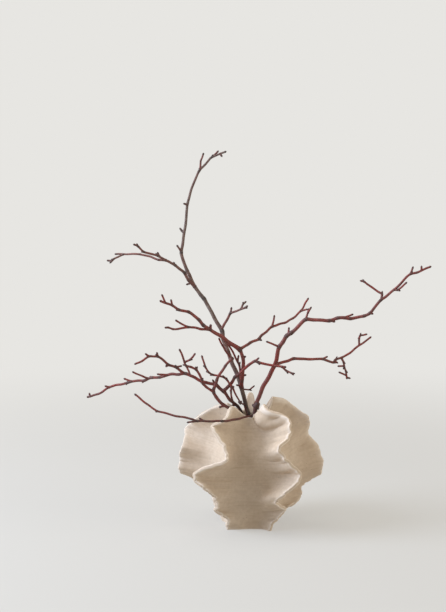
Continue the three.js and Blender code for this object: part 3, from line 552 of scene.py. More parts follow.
TALL = [
    # trunk and grey leader
    Shoot(3.3, [
        [-6, 164, 8], [-10, 180, 6], [-12, 190, 5], [-20, 212, 7], [-26, 225, 9], [-32, 242, 12],
        [-38, 258, 15], [-39, 268, 17], [-49, 285, 20], [-60, 305, 24], [-64, 314, 26],
        [-69, 318, 27], [-77, 329, 29], [-85, 347, 32], [-89, 353, 33], [-95, 372, 36],
        [-97, 378, 37], [-94, 393, 38], [-91, 415, 39], [-89, 431, 39], [-88, 447, 38],
        [-86, 454, 37], [-82, 467, 35], [-77, 481, 33], [-72, 492, 31], [-63, 501, 29],
        [-55, 512, 26], [-50, 513, 25], [-33, 520, 20],
    ], 0.9, GREY),
    Shoot(0.9, [[-71, 494, 30.5], [-69, 507, 27], [-65, 518, 24]], 0.8, BROWN),
    Shoot(0.9, [[-53, 513, 25.5], [-44, 521, 28]], 0.8, BROWN),
    Shoot(0.9, [[-43, 516, 23], [-39, 512, 20]], 0.8, BROWN),
    Shoot(0.9, [[-88, 446, 38], [-94, 447, 36]], 0.8, BROWN),
    Shoot(1.0, [[-92, 405, 38.5], [-95, 408, 40], [-99, 413, 41]], 0.8, BROWN),
    Shoot(1.0, [[-97, 379, 37], [-103, 389, 34]], 0.8, BROWN),
    Shoot(1.2, [[-85, 335, 28], [-90, 333, 30]], 0.8, BROWN),
    # arching side shoot to the left
    Shoot(1.6, [
        [-78, 331, 29], [-86, 339, 26], [-92, 350, 22], [-99, 355, 19], [-105, 361, 16],
        [-118, 367, 11], [-129, 374, 7], [-139, 376, 3], [-149, 379, -2], [-157, 387, -5],
        [-164, 390, -8],
    ], 0.9, BROWN),
    Shoot(1.1, [
        [-118, 367, 11], [-128, 368, 14], [-139, 372, 18], [-154, 376, 22], [-168, 376, 26],
        [-177, 376, 29], [-190, 376, 33],
    ], 0.85, BROWN),
    Shoot(0.9, [[-177, 376, 29], [-191, 369, 27], [-197, 363, 25]], 0.8, BROWN),
    Shoot(0.85, [[-194, 367, 26], [-201, 367, 28]], 0.8, BROWN),
    Shoot(1.0, [[-127, 373, 8], [-130, 379, 10]], 0.9, BROWN),
    # twig to the right of the leader
    Shoot(1.4, [
        [-40, 271, 17], [-36, 278, 14], [-32, 285, 11], [-28, 293, 8], [-19, 296, 4], [-13, 299, 1],
        [-7, 301, -2], [-3, 304, -4],
    ], 0.9, BROWN),
    Shoot(1.0, [[-28, 293, 8], [-26, 302, 10]], 0.85, BROWN),
    Shoot(0.9, [[-13, 299, 1], [-10, 306, 3], [-5, 310, 5]], 0.8, BROWN),
    # dark red arm
    Shoot(2.1, [
        [-12, 190, 5], [-12, 198, 1], [-10.5, 206, -1], [-10, 214, -3], [-9.5, 221, -4],
        [-10, 230, -5], [-12, 237, -6], [-14, 243, -6],
    ], 1.8),
    Shoot(1.1, [[-10, 230, -5], [-5.5, 233, -7]], 0.9),
    Shoot(0.9, [[-10.5, 205, -1], [-5, 207, -3]]),
    # right twig of the arm
    Shoot(1.5, [
        [-14, 243, -6], [-4, 249, -2], [0, 252, 1], [8, 255, 5], [12, 257, 7], [15, 261, 9],
        [21, 266, 12], [30, 274, 17], [38, 277, 21], [49, 280, 26], [60, 286, 31], [71, 296, 36],
        [75, 303, 39], [82, 315, 43],
    ], 0.85),
    Shoot(0.9, [[11, 257, 7], [17, 255, 5]]),
    Shoot(1.0, [[31, 275, 17], [33, 283, 20], [34, 291, 22]]),
    Shoot(0.85, [[71, 296, 36], [81, 299, 33]]),
    # left spray of the arm, with its lower and its side twig
    Shoot(2.3, [
        [-14, 242, -6], [-24, 249, -10], [-32, 254, -14], [-41, 261, -19], [-54, 269, -26],
        [-66, 276, -33], [-71, 284, -36], [-79, 290, -40], [-86, 295, -44], [-100, 298, -50],
        [-109, 304, -55], [-120, 308, -60], [-127, 311, -63],
    ], 1.0),
    Shoot(0.9, [[-118, 307, -59], [-124, 320, -62]]),
    Shoot(0.9, [[-109, 304, -55], [-111, 313, -57]]),
    Shoot(1.5, [[-55, 270, -27], [-55, 278, -29]], 1.0),
    Shoot(1.3, [
        [-56, 270, -27], [-69, 271, -32], [-78, 273, -36], [-86, 274, -40], [-101, 271, -47],
        [-108, 271, -50], [-115, 273, -53], [-120, 273, -56],
    ], 0.85),
    Shoot(0.9, [[-86, 274, -40], [-98, 279, -43], [-105, 284, -46]]),
    # thin shoots among the stems
    Shoot(0.95, [[-28, 231, 10], [-31, 236, 6], [-35, 241, 0], [-39, 248, -5], [-44, 259, -9]]),
    Shoot(1.1, [
        [-13, 193, 4], [-14, 209, 1], [-15, 221, 0], [-20, 230, -1], [-25, 240, -2], [-29, 247, -4],
        [-34, 253, -5],
    ], 0.85),
    Shoot(0.9, [[-17, 225, 0], [-16, 235, 1]]),
    Shoot(0.9, [[-11, 187, 5], [-1, 186, 2], [3, 189, 0], [6.5, 192, -1]]),
    Shoot(0.9, [[-12, 191, 5], [-20, 193, 2]]),
]

RIGHT = [
    Shoot(3.3, [
        [7, 158, -8], [8.5, 166, -8], [11.5, 174, -8], [18, 190, -9], [25, 202, -10],
        [34, 219, -12], [36.5, 227, -14], [40.5, 246.5, -17], [46, 253, -18], [51, 262, -20],
        [57.5, 265, -21], [72, 279.5, -25], [78, 285.5, -27], [87, 284, -29], [98.5, 283.5, -31],
        [111, 282.5, -34], [122, 286.5, -36], [132, 287, -38], [140, 285.5, -39], [160, 289, -43],
        [167.5, 293, -45], [179, 306.5, -48], [182.5, 312, -49], [190, 316.5, -50], [203, 327, -53],
        [219, 343.5, -56], [225, 349, -57], [233, 350, -58], [240.5, 353, -59], [254, 359, -61],
    ], 0.95),
    Shoot(3.5, [[8, 163, -8], [11.5, 168, -10]], 2.6),
    Shoot(1.0, [[40, 246.5, -17], [30, 250.5, -19], [22, 254, -20]]),
    Shoot(1.0, [[53, 263, -20], [54.5, 274, -18]]),
    Shoot(1.0, [[78, 286, -27], [81, 295, -26], [82, 300.5, -25]]),
    Shoot(0.85, [[80.5, 293.5, -26], [86, 302.5, -28]]),
    Shoot(1.0, [[110, 283, -34], [119.5, 281, -36]], 0.85),
    Shoot(0.9, [[131, 287, -38], [145, 292, -36]]),
    Shoot(0.9, [[167, 292.5, -45], [173, 292, -47]]),
    # twig that turns back to the left
    Shoot(1.1, [
        [182.5, 312, -49], [185, 320.5, -47], [180, 323, -45], [172.5, 328, -42], [165, 333, -39],
        [160, 337.5, -37], [153.5, 339, -35],
    ], 0.85),
    Shoot(0.95, [[202, 326, -53], [206.5, 325.5, -55], [213, 330.5, -57], [220, 337, -60]]),
    Shoot(0.95, [[225, 349, -57], [228.5, 359, -55]]),
    Shoot(0.9, [[240, 353, -59], [240, 360, -58]]),
    # lower spray
    Shoot(1.6, [
        [36, 222, -12], [51.5, 226, -5], [60.5, 230, -1], [70, 229, 3], [92.5, 229, 12],
        [101.5, 229, 15], [117, 224, 21], [119.5, 228, 22], [128.5, 231, 26], [141, 238.5, 31],
        [152.5, 248, 35], [160, 253, 38], [170, 260.5, 42],
    ], 0.85),
    Shoot(0.9, [[101.5, 229, 15], [109, 233, 17]]),
    Shoot(0.9, [[118, 226, 21.5], [123.5, 223, 20]]),
    Shoot(0.95, [[152, 248, 35], [152.5, 256, 36], [154, 262, 36], [164.5, 264, 38]]),
    # twig that hangs from it
    Shoot(1.0, [
        [128, 231, 26], [131, 224.5, 28], [131.5, 218.5, 29], [134.5, 212, 30], [135.5, 200.5, 32],
    ], 0.85),
    Shoot(0.85, [[131.5, 219, 29], [122, 219, 30]]),
    Shoot(0.85, [[135, 206.5, 31], [123.5, 211, 33]]),
    Shoot(0.85, [[135.5, 203, 31.5], [141, 202, 31]]),
]

LEFT = [
    Shoot(2.4, [
        [-12, 154, 6], [-17, 163.5, 5], [-21.5, 166, 4], [-28, 171.5, 2], [-37, 184, 0],
        [-44, 189, -1], [-48.5, 194, -2], [-61.5, 195.5, -2], [-70.5, 199, -1], [-80.5, 204.5, 0],
        [-89.5, 209, 2], [-99.5, 207.5, 5], [-109, 208, 8], [-117.5, 206.5, 11], [-126, 203, 14],
        [-137, 203.5, 17], [-147.5, 199, 20], [-167.5, 198, 26], [-171, 195.5, 27], [-185, 193, 31],
        [-197.5, 190, 34], [-206, 183.5, 36], [-214, 179.5, 38], [-229, 175.5, 42],
    ], 1.0),
    Shoot(0.9, [[-224, 177, 41], [-225.5, 182, 42]]),
    Shoot(0.9, [[-197, 190, 34], [-204, 191.5, 32]]),
    Shoot(0.95, [[-167, 198, 26], [-177.5, 202, 28]]),
    Shoot(1.0, [[-142, 201, 18.5], [-157, 207.5, 16], [-165.5, 211.5, 14]]),
    Shoot(1.0, [[-115, 206.5, 10], [-131, 208, 7]]),
    Shoot(1.8, [[-22, 166, 4], [-26, 163, 0.5]], 1.2),
    Shoot(1.0, [[-49, 194, -2], [-53, 200.5, -3]]),
    Shoot(1.1, [[-24.5, 169, 3], [-26, 175.5, 5], [-27, 182, 7], [-26.5, 190, 8]], 0.85),
    # upper twig
    Shoot(1.4, [
        [-93, 208.5, 3], [-103, 217, 0], [-114, 221, -3], [-124.5, 229.5, -6], [-129.5, 233, -8],
        [-141, 233, -11], [-151, 226.5, -13], [-162.5, 221.5, -16],
    ], 0.9),
    Shoot(0.9, [[-141, 233, -11], [-147.5, 237, -12]]),
    Shoot(0.9, [[-129.5, 233, -8], [-131, 239, -9]]),
    Shoot(0.9, [[-113, 221, -3], [-119, 218, -2]]),
    Shoot(0.9, [[-104, 217.5, 0], [-95, 219.5, 3]]),
    # shoot that crosses in front of the other stems
    Shoot(1.8, [
        [-35.5, 187, 0], [-29, 192, -3], [-25, 197.5, -6], [-21.5, 204, -8], [-16, 207, -9],
        [-12, 211, -10.5], [-7.5, 216, -12], [-2.5, 221, -13], [7, 226.5, -15], [11, 224, -17],
        [19.5, 222.5, -19], [35, 219.5, -23], [51, 217.5, -28],
    ], 1.0),
    Shoot(0.95, [[6, 226, -15], [13, 231, -16]]),
    Shoot(0.95, [[44, 218, -25.5], [50.5, 212.5, -28], [58, 209, -31], [63, 208.5, -33]]),
]

SHORT = [
    # stem over the lip, and the red twig above it
    Shoot(3.0, [
        [-29, 159.5, -6], [-37.5, 165, -8], [-43, 170, -9], [-48, 175.5, -10], [-51.5, 182.5, -11],
        [-51, 187.5, -12], [-48, 194, -12.5], [-47, 200, -13], [-44, 205.5, -13], [-40, 211, -13],
        [-35.5, 219, -12], [-29, 225.5, -11], [-24, 231, -10],
    ], 1.2),
    Shoot(1.6, [[-26, 229, -10.5], [-23.5, 231.5, -10]], 1.3),
    Shoot(1.2, [[-37, 163, -8], [-44, 161.5, -9]], 0.9),
    # side shoot up to the left
    Shoot(1.3, [
        [-51, 184, -11], [-61.5, 189.5, -14], [-66.5, 194.5, -15], [-67, 199.5, -16],
        [-70.5, 207, -17], [-75.5, 214, -18], [-83, 218, -19], [-90.5, 220, -19], [-92, 225, -19],
        [-96.5, 237.5, -21], [-99.5, 243.5, -22],
    ], 0.9),
    Shoot(1.0, [[-92, 225, -19], [-84, 228, -21], [-80, 232, -22], [-76.5, 237.5, -23]], 0.85),
    Shoot(0.9, [[-89, 220, -19], [-85.5, 211, -20], [-84, 206.5, -20]]),
    Shoot(0.85, [[-75.5, 214, -18], [-74, 219, -17]]),
]

LOW = [
    # twig over the front lip
    Shoot(1.3, [
        [1, 150, -23], [-5, 148, -31], [-14, 146, -40], [-20, 144.5, -47], [-28, 143, -56],
        [-39, 142, -66], [-63, 142, -72], [-74, 142, -74], [-81, 145, -74], [-90, 147, -73],
        [-101, 148.5, -72], [-112, 151.5, -70], [-122, 154, -68], [-129.5, 156, -66],
        [-137, 160.5, -64], [-147, 167.5, -61], [-155, 175, -58], [-162.5, 180.5, -56],
    ], 0.9),
    Shoot(0.95, [[-73, 142, -74], [-89, 140, -77]]),
    Shoot(0.9, [[-65, 142, -72], [-72, 146.5, -71]]),
]

CURL = [
    # twig that curls over to the left
    Shoot(1.3, [
        [-7, 164.5, 1], [-14, 168, -2], [-16, 171.5, -3], [-20, 179.5, -5], [-24, 187.5, -6.8],
        [-26.5, 190.5, -8.2], [-29.5, 195.5, -9.7], [-32, 200, -10], [-36, 203.5, -9.2],
        [-43, 205, -7], [-52.5, 207, -6], [-58, 210.5, -5], [-63, 217.5, -4], [-65.5, 227, -3],
        [-68, 234.5, -2],
    ], 0.85),
    Shoot(1.8, [[-13, 167.5, -1.5], [-16, 169, -3]], 1.3),
    Shoot(1.7, [[-25, 189, -7.3], [-27.5, 192, -8.6]], 1.2),
]

# The foot of each branch inside the vase, [x, y, z] from the floor to the mouth, and its shoots.
BRANCHES = {
    "branch_tall": ([[8, 14, 6.5], [5, 12, 60], [1, 9.5, 120], [-1, 8, 150]], TALL),
    "branch_right": ([[-8, -12, 6.5], [-5, -11, 60], [1, -9, 120], [4, -8, 148]], RIGHT),
    "branch_left": ([[8, 4, 6.9], [3, 5, 50], [-6, 5.5, 118], [-11, 6, 148]], LEFT),
    "branch_short": (
        [[-7, 2, 6.6], [-8, -1, 70], [-8, -3, 134], [-11, -4, 153], [-17, -4.5, 159.4]], SHORT,
    ),
    "branch_low": ([[2, -16, 6.5], [1, -17, 60], [0.5, -15, 120], [0.8, -14.3, 157]], LOW),
    "twig_curl": ([[4, -3, 6.4], [1, -2, 80], [-3, 0.5, 140], [-4.5, 1, 154]], CURL),
}


def seen_at(point):
    """The place seen from the viewpoint at this point, at this depth behind the axis."""
    across, up, back = point
    in_plane = np.array([across, up * math.sin(VIEW_TILT), up * math.cos(VIEW_TILT)])
    line = in_plane - VIEWPOINT
    return VIEWPOINT + line * (back - VIEWPOINT[1]) / line[1]


def steps_along(corners, radius):
    """Places along the route, close together at its tip, and how far each corner lies along it."""
    travelled = distances_along(corners)
    length = travelled[-1]
    step = float(np.clip(radius * STEM_STEP, *STEP_RANGE))
    body = max(length - TIP_LENGTH, length * LEAST_BODY)
    places = np.linspace(0, body, max(int(body / step), LEAST_STEPS), endpoint=False)
    from_tip = np.array(TIP_OUTLINE)[::-1, 0]
    return np.concatenate([places, length - from_tip * (length - body) / TIP_LENGTH]), travelled


def soft_route(corners, travelled, places, softness):
    """The route at these places, with its bends rounded over about this length."""
    spread = SOFTENING * softness
    weights = bell(spread / softness)
    reach = np.minimum(places, travelled[-1] - places)[:, None]
    around = places[:, None] + np.clip(spread, -reach, reach)
    samples = np.stack([np.interp(around, travelled, axis) for axis in corners.T], -1)
    return (samples * weights[:, None]).sum(1) / weights.sum()


def frames_along(route):
    """Two directions square to the route at each of its points, without twist."""
    forward = unit(np.gradient(route, axis=0))
    across = np.zeros_like(forward)
    previous = np.array([0.0, 1.0, 0.0])
    for i, ahead in enumerate(forward):
        previous = previous - ahead * previous.dot(ahead)
        previous = previous / np.linalg.norm(previous)
        across[i] = previous
    return across, np.cross(forward, across)


def wavy_route(corners, travelled, places, radius):
    """The soft route, with the small waves of a grown stem."""
    route = soft_route(corners, travelled, places, radius * BEND_SOFTNESS)
    free = smoothstep(places, *WAVE_START) * smoothstep(travelled[-1] - places, *WAVE_END)
    for way in frames_along(route):
        wave = random.uniform(*WAVE_LENGTHS)
        turn = random.uniform(0, 2 * math.pi)
        aside = WAVE_DEPTH * free * np.sin(places * 2 * math.pi / wave + turn)
        route = route + way * aside[:, None]
    return route


def tube(name, route, radii, values):
    """A closed round stem along a route, with its bark values stored."""
    sides = next(count for least, count in SIDES if radii.max() > least)
    across, other = frames_along(route)
    angle = np.linspace(0, 2 * math.pi, sides, endpoint=False)[None, :, None]
    ring = across[:, None] * np.cos(angle) + other[:, None] * np.sin(angle)
    rings = route[:, None] + ring * radii[:, None, None]
    points, faces = skin(rings, route[0], route[-1])
    stem = mesh_object(name, points, faces)
    for key, value in values.items():
        spread = np.concatenate([np.repeat(value, sides), [value[0], value[-1]]])
        set_values(stem.data, key, spread)
    set_values(stem.data, "grown", np.ones(len(points)))
    return stem


def bud_at(name, place, outward, forward, stem, bark):
    """A pointed bud on a bend, pressed a little towards the tip of its shoot."""
    length = random.uniform(*BUD_LENGTH)
    radius = random.uniform(*BUD_RADIUS)
    lean = unit(outward + forward * BUD_LEAN)
    parts, widths = np.array(BUD_OUTLINE).T
    along = stem + parts * length
    pressed = np.maximum(parts, 0) ** 2 * BUD_CURVE
    route = place + along[:, None] * lean + pressed[:, None] * forward
    dark = np.clip(BUD_SHADE + parts, 0, 1)
    values = {"bark": np.full(len(parts), bark), "node": dark}
    return tube(name, route, widths * radius, values)


def stem_radii(shoot, route, places, nodes, is_side_shoot):
    """The radius at each place of a shoot, and how far its bark there is a node's."""
    start = shoot.start * ROUND
    end = shoot.end * ROUND
    length = places[-1]
    away = np.linalg.norm(route - MOUTH, axis=1)
    extra = OUTSIDE_EXTRA * ROUND * smoothstep(away, *OUTSIDE) * smoothstep(route[:, 2], *ABOVE)
    radii = start + (end - start) * places / length + extra
    node = np.zeros(len(places))
    for bend, where in nodes:
        strength = smoothstep(bend, *NODE_BENDS)
        swelling = bell((places - where) / (radii * NODE_LENGTH))
        radii = radii * (1 + NODE_SWELLING * strength * swelling)
        dark_length = np.where(places > where, radii + NODE_SHADE, radii)
        node = np.maximum(node, strength * bell((places - where) / dark_length))
    radii = radii * (1 + sum(depth * unevenness(route, size) for size, depth in BARK_LUMPS))
    if is_side_shoot:
        radii = radii * (1 + COLLAR * np.exp(-places / (start * COLLAR_LENGTH)))
        node = np.maximum(node, np.exp(-places / (start * COLLAR_SHADE)))
    stub = shoot.end > STUB_RADIUS and length < STUB_LENGTH
    distances, widths = np.array(STUB_OUTLINE if stub else TIP_OUTLINE).T
    radii = radii * np.interp(length - places, distances, widths)
    tip = smoothstep(TIP_LENGTH - (length - places), 0, TIP_FADE)
    return radii, np.maximum(node, TIP_SHADE * tip)


def shoot_pieces(name, shoot, foot, grown):
    """The stem of one shoot and its buds. grown has the points of the shoots before it."""
    outside = np.array([seen_at(point) for point in shoot.seen])
    if foot is not None:
        corners = np.vstack([foot, outside])
    else:
        nearest = np.linalg.norm(grown - outside[0], axis=1).argmin()
        corners = np.vstack([grown[nearest], outside[1:]])
    start = shoot.start * ROUND
    places, travelled = steps_along(corners, start)
    route = wavy_route(corners, travelled, places, start)
    ways = unit(np.diff(corners, axis=0))
    bends = np.degrees(np.arccos(np.clip((ways[:-1] * ways[1:]).sum(1), -1, 1)))
    nodes = list(zip(bends, travelled[1:-1]))
    radii, node = stem_radii(shoot, route, places, nodes, foot is None)
    change = np.sin(places / BARK_CHANGE[1] + random.uniform(*ANY_START))
    bark = shoot.bark + BARK_CHANGE[0] * change
    bark = bark + (BROWN - bark) * BROWNING * smoothstep(start, *THICK)
    pieces = [tube(name, route, radii, {"bark": np.clip(bark, 0, 1), "node": node})]

    first = 0 if foot is None else len(foot)
    for i, (bend, where) in enumerate(nodes):
        stem = np.interp(where, places, radii)
        if i >= first and bend > BUD_BEND and stem < BUD_STEM:
            place = route[np.abs(places - where).argmin()]
            outward = unit(ways[i] - ways[i + 1])
            forward = unit(ways[i] + ways[i + 1])
            pieces.append(bud_at(f"{name}_bud_{i}", place, outward, forward, stem, shoot.bark))
    return pieces, route


def join_grown(pieces, name):
    """Fuses the stems and buds of one branch into one closed skin."""
    trunk, *others = pieces
    gathered = bpy.data.collections.new(name + "_shoots")
    bpy.context.scene.collection.children.link(gathered)
    for piece in others:
        bpy.context.collection.objects.unlink(piece)
        gathered.objects.link(piece)
    union = trunk.modifiers.new("grown", "BOOLEAN")
    union.operation = "UNION"
    union.operand_type = "COLLECTION"
    union.collection = gathered
    union.solver = "MANIFOLD"
    view = bpy.context.evaluated_depsgraph_get()
    mesh = bpy.data.meshes.new_from_object(trunk.evaluated_get(view))
    for piece in pieces:
        bpy.data.objects.remove(piece, do_unlink=True)
    bpy.data.collections.remove(gathered)
    whole = bpy.data.objects.new(name, mesh)
    bpy.context.collection.objects.link(whole)
    return whole


def soften_forks(mesh):
    """Gives the new edges at each fork its neighbours' bark, and smooths the fork a little."""
    work = bmesh.new()
    work.from_mesh(mesh)
    grown, bark, node = (work.verts.layers.float[key] for key in ("grown", "bark", "node"))
    seams = [vertex for vertex in work.verts if vertex[grown] < UNTOUCHED]
    for vertex in seams:
        around = [edge.other_vert(vertex) for edge in vertex.link_edges]
        near = [other for other in around if other[grown] > UNTOUCHED]
        if near:
            vertex[bark] = sum(other[bark] for other in near) / len(near)
            vertex[node] = max(other[node] for other in near)
    every_way = {"use_axis_x": True, "use_axis_y": True, "use_axis_z": True}
    for _ in range(FORK_SMOOTHING):
        bmesh.ops.smooth_vert(work, verts=seams, factor=0.5, **every_way)
    work.to_mesh(mesh)
    work.free()


def make_branch(name, foot, shoots, material):
    pieces = []
    grown = None
    for number, shoot in enumerate(shoots):
        start = np.array(foot, float) if number == 0 else None
        made, route = shoot_pieces(f"{name}_{number}", shoot, start, grown)
        pieces += made
        grown = route if grown is None else np.vstack([grown, route])
    whole = join_grown(pieces, name + "_bark")
    soften_forks(whole.data)
    finish_piece(whole, name, material, BARK_CREASE)


# ---- Materials ----


def add_node(tree, kind, values=None, **settings):
    node = tree.nodes.new(kind)
    for key, value in settings.items():
        setattr(node, key, value)
    for key, value in (values or {}).items():
        if isinstance(value, bpy.types.NodeSocket):
            tree.links.new(value, node.inputs[key])
        else:
            node.inputs[key].default_value = value
    return node


def math_node(tree, operation, first, second):
    return add_node(tree, "ShaderNodeMath", {0: first, 1: second}, operation=operation).outputs[0]


def ranged(tree, value, low, high, to=(0, 1), kind="LINEAR"):
    """The value's stretch from low to high, laid over a range."""
    values = {"Value": value, "From Min": low, "From Max": high, "To Min": to[0], "To Max": to[1]}
    return add_node(tree, "ShaderNodeMapRange", values, interpolation_type=kind).outputs["Result"]


def object_place(tree):
    return add_node(tree, "ShaderNodeTexCoord").outputs["Object"]


def stored(tree, name):
    return add_node(tree, "ShaderNodeAttribute", attribute_name=name).outputs["Fac"]


def mixed(tree, mask, base, over):
    """Base colour where the mask is 0, the other where it is 1."""
    values = {0: mask, 6: base, 7: over}
    return add_node(tree, "ShaderNodeMix", values, data_type="RGBA").outputs[2]


def layered(tree, colour, layers):
    """A base colour under layers of (mask, strength, colour)."""
    for mask, strength, over in layers:
        colour = mixed(tree, math_node(tree, "MULTIPLY", mask, strength), colour, over)
    return colour


def new_group(name, inputs):
    """A node group with these inputs and their defaults, and one output, Mask."""
    group = bpy.data.node_groups.new(name, "ShaderNodeTree")
    for label, default in inputs.items():
        socket = group.interface.new_socket(label, in_out="INPUT", socket_type="NodeSocketFloat")
        socket.default_value = default
    group.interface.new_socket("Mask", in_out="OUTPUT", socket_type="NodeSocketFloat")
    source = group.nodes.new("NodeGroupInput").outputs
    return group, source, group.nodes.new("NodeGroupOutput").inputs["Mask"]


def mottling_group():
    """Soft patches of a size in metres. Mask runs from 0 to 1 over the patches."""
    group, source, mask = new_group("mottling", {"Size": 0.02, "Softness": 0.2})
    scale = math_node(group, "DIVIDE", 1.0, source["Size"])
    values = {"Vector": object_place(group), "Scale": scale, "Detail": 4.0, "Roughness": 0.55}
    patches = add_node(group, "ShaderNodeTexNoise", values).outputs["Fac"]
    low = math_node(group, "SUBTRACT", 0.5, source["Softness"])
    high = math_node(group, "ADD", 0.5, source["Softness"])
    group.links.new(ranged(group, patches, low, high, kind="SMOOTHSTEP"), mask)
    return group


def specks_group():
    """Small round specks of a spacing in metres. Share is the part of the cells that has one."""
    group, source, mask = new_group("specks", {"Spacing": 0.004, "Share": 0.3, "Radius": 0.2})
    scale = math_node(group, "DIVIDE", 1.0, source["Spacing"])
    cells = add_node(group, "ShaderNodeTexVoronoi", {"Vector": object_place(group), "Scale": scale})
    chance = add_node(group, "ShaderNodeSeparateColor", {"Color": cells.outputs["Color"]})
    chosen = math_node(group, "LESS_THAN", chance.outputs["Red"], source["Share"])
    spot = ranged(group, cells.outputs["Distance"], source["Radius"], 0.0, kind="SMOOTHSTEP")
    group.links.new(math_node(group, "MULTIPLY", chosen, spot), mask)
    return group


mottling = mottling_group()
specks = specks_group()


def group_mask(tree, group, values):
    return add_node(tree, "ShaderNodeGroup", values, node_tree=group).outputs["Mask"]


def new_material(name, specular):
    material = bpy.data.materials.new(name)
    material.use_nodes = True
    tree = material.node_tree
    shader = tree.nodes["Principled BSDF"]
    shader.inputs["Specular IOR Level"].default_value = specular
    return material, tree, shader


def link_surface(tree, shader, colour, rough, relief, strength, depth):
    """Links colour, roughness and a relief of this depth in metres to the shader."""
    values = {"Height": relief, "Strength": strength, "Distance": depth}
    bump = add_node(tree, "ShaderNodeBump", values).outputs["Normal"]
    for key, value in (("Base Color", colour), ("Roughness", rough), ("Normal", bump)):
        tree.links.new(value, shader.inputs[key])


CLAY = (0.625, 0.508, 0.388, 1)
CLAY_WARM = (0.55, 0.43, 0.314, 1)
# Pale clay of the worn edges, also a painted highlight along them.
CLAY_WEAR_AND_HIGHLIGHT = (0.75, 0.65, 0.545, 1)
CLAY_CUT = (0.56, 0.444, 0.33, 1)
CLAY_LINE = (0.47, 0.362, 0.262, 1)
CLAY_SPECK = (0.14, 0.085, 0.055, 1)
CLAY_ROUGHNESS = (0.92, 0.7)  # plain, and where it is worn and painted with highlight
FINE_LINES = 3.0  # spacing of the finest lines left by the wheel, and how far they wander
LINE_TONES = (0.46, 0.72)  # noise values between which a line grows to its full tone
LINE_TONE = 0.6
LINE_RELIEF = 1.6  # beside the grain's
GRAINS = 1400.0  # to a metre


def stoneware_material():
    """Matte unglazed stoneware: warm beige, fine throwing lines, worn edges painted pale as
    highlights, iron specks.
    """
    material, tree, shader = new_material("matte_stoneware", 0.25)
    patches = group_mask(tree, mottling, {"Size": 0.045, "Softness": 0.22})
    clouds = group_mask(tree, mottling, {"Size": 0.011, "Softness": 0.3})
    grit = group_mask(tree, mottling, {"Size": 0.0045, "Softness": 0.16})
    iron = group_mask(tree, specks, {"Spacing": 0.006, "Share": 0.45, "Radius": 0.12})
    wear_and_highlight = stored(tree, "wear_and_highlight")

    wander = math_node(tree, "MULTIPLY", patches, FINE_LINES)
    along = math_node(tree, "ADD", stored(tree, "throwing"), wander)
    values = {"W": along, "Scale": 1 / FINE_LINES, "Detail": 4.0, "Roughness": 0.6}
    lines = add_node(tree, "ShaderNodeTexNoise", values, noise_dimensions="1D").outputs["Fac"]
    tones = ranged(tree, lines, *LINE_TONES, (0, LINE_TONE))

    colour = layered(tree, CLAY, [
        (patches, 0.8, CLAY_WARM),
        (clouds, 0.35, CLAY_WARM),
        (math_node(tree, "MULTIPLY", tones, clouds), 1, CLAY_LINE),
        (grit, 0.36, CLAY_LINE),
        (stored(tree, "cut"), 0.75, CLAY_CUT),
        # worn edges painted pale: wear and painted highlight along the rounded edges
        (wear_and_highlight, 0.8, CLAY_WEAR_AND_HIGHLIGHT),
        (iron, 0.75, CLAY_SPECK),
    ])
    rough = ranged(tree, wear_and_highlight, 0, 1, CLAY_ROUGHNESS)
    values = {"Vector": object_place(tree), "Scale": GRAINS, "Detail": 3.0, "Roughness": 0.6}
    grain = add_node(tree, "ShaderNodeTexNoise", values).outputs["Fac"]
    relief = math_node(tree, "ADD", math_node(tree, "MULTIPLY", lines, LINE_RELIEF), grain)
    link_surface(tree, shader, colour, rough, relief, strength=0.5, depth=0.00035)
    return material


BARK_OLD = (0.2, 0.155, 0.125, 1)
BARK_YOUNG = (0.27, 0.028, 0.018, 1)
BARK_DULL = (0.085, 0.03, 0.022, 1)
BARK_DARK = (0.034, 0.029, 0.024, 1)
BARK_LENTICEL = (0.42, 0.12, 0.06, 1)
BARK_ROUGHNESS = (0.75, 0.5)  # old, and young
LENTICEL_RELIEF = 1.5  # beside the streaks'
MOUTH_SHADE = (0.185, 0.15)  # metres high, between which painted shade darkens the bark down into the mouth


def bark_material():
    """Twig bark from old grey to young red, dark at its nodes and buds, with pale lenticels and
    painted shade down into the mouth.
    """
    material, tree, shader = new_material("twig_bark", 0.4)
    patches = group_mask(tree, mottling, {"Size": 0.006, "Softness": 0.16})
    streaks = group_mask(tree, mottling, {"Size": 0.0016, "Softness": 0.2})
    lenticels = group_mask(tree, specks, {"Spacing": 0.0016, "Share": 0.3, "Radius": 0.26})
    place = add_node(tree, "ShaderNodeSeparateXYZ", {"Vector": object_place(tree)})
    # Painted shade: the bark grows darker down into the mouth.
    low = ranged(tree, place.outputs["Z"], *MOUTH_SHADE)
    age = stored(tree, "bark")

    colour = layered(tree, BARK_OLD, [
        (age, 1, BARK_YOUNG),
        (patches, 0.6, BARK_DULL),
        (streaks, 0.35, BARK_DARK),
        (lenticels, 0.7, BARK_LENTICEL),
        (stored(tree, "node"), 0.75, BARK_DARK),
        # painted shade down into the mouth
        (low, 0.75, BARK_DARK),
    ])
    rough = ranged(tree, age, 0, 1, BARK_ROUGHNESS)
    raised = math_node(tree, "MULTIPLY", lenticels, LENTICEL_RELIEF)
    relief = math_node(tree, "ADD", streaks, raised)
    link_surface(tree, shader, colour, rough, relief, strength=0.6, depth=0.00018)
    return material


# ---- Stage and light ----

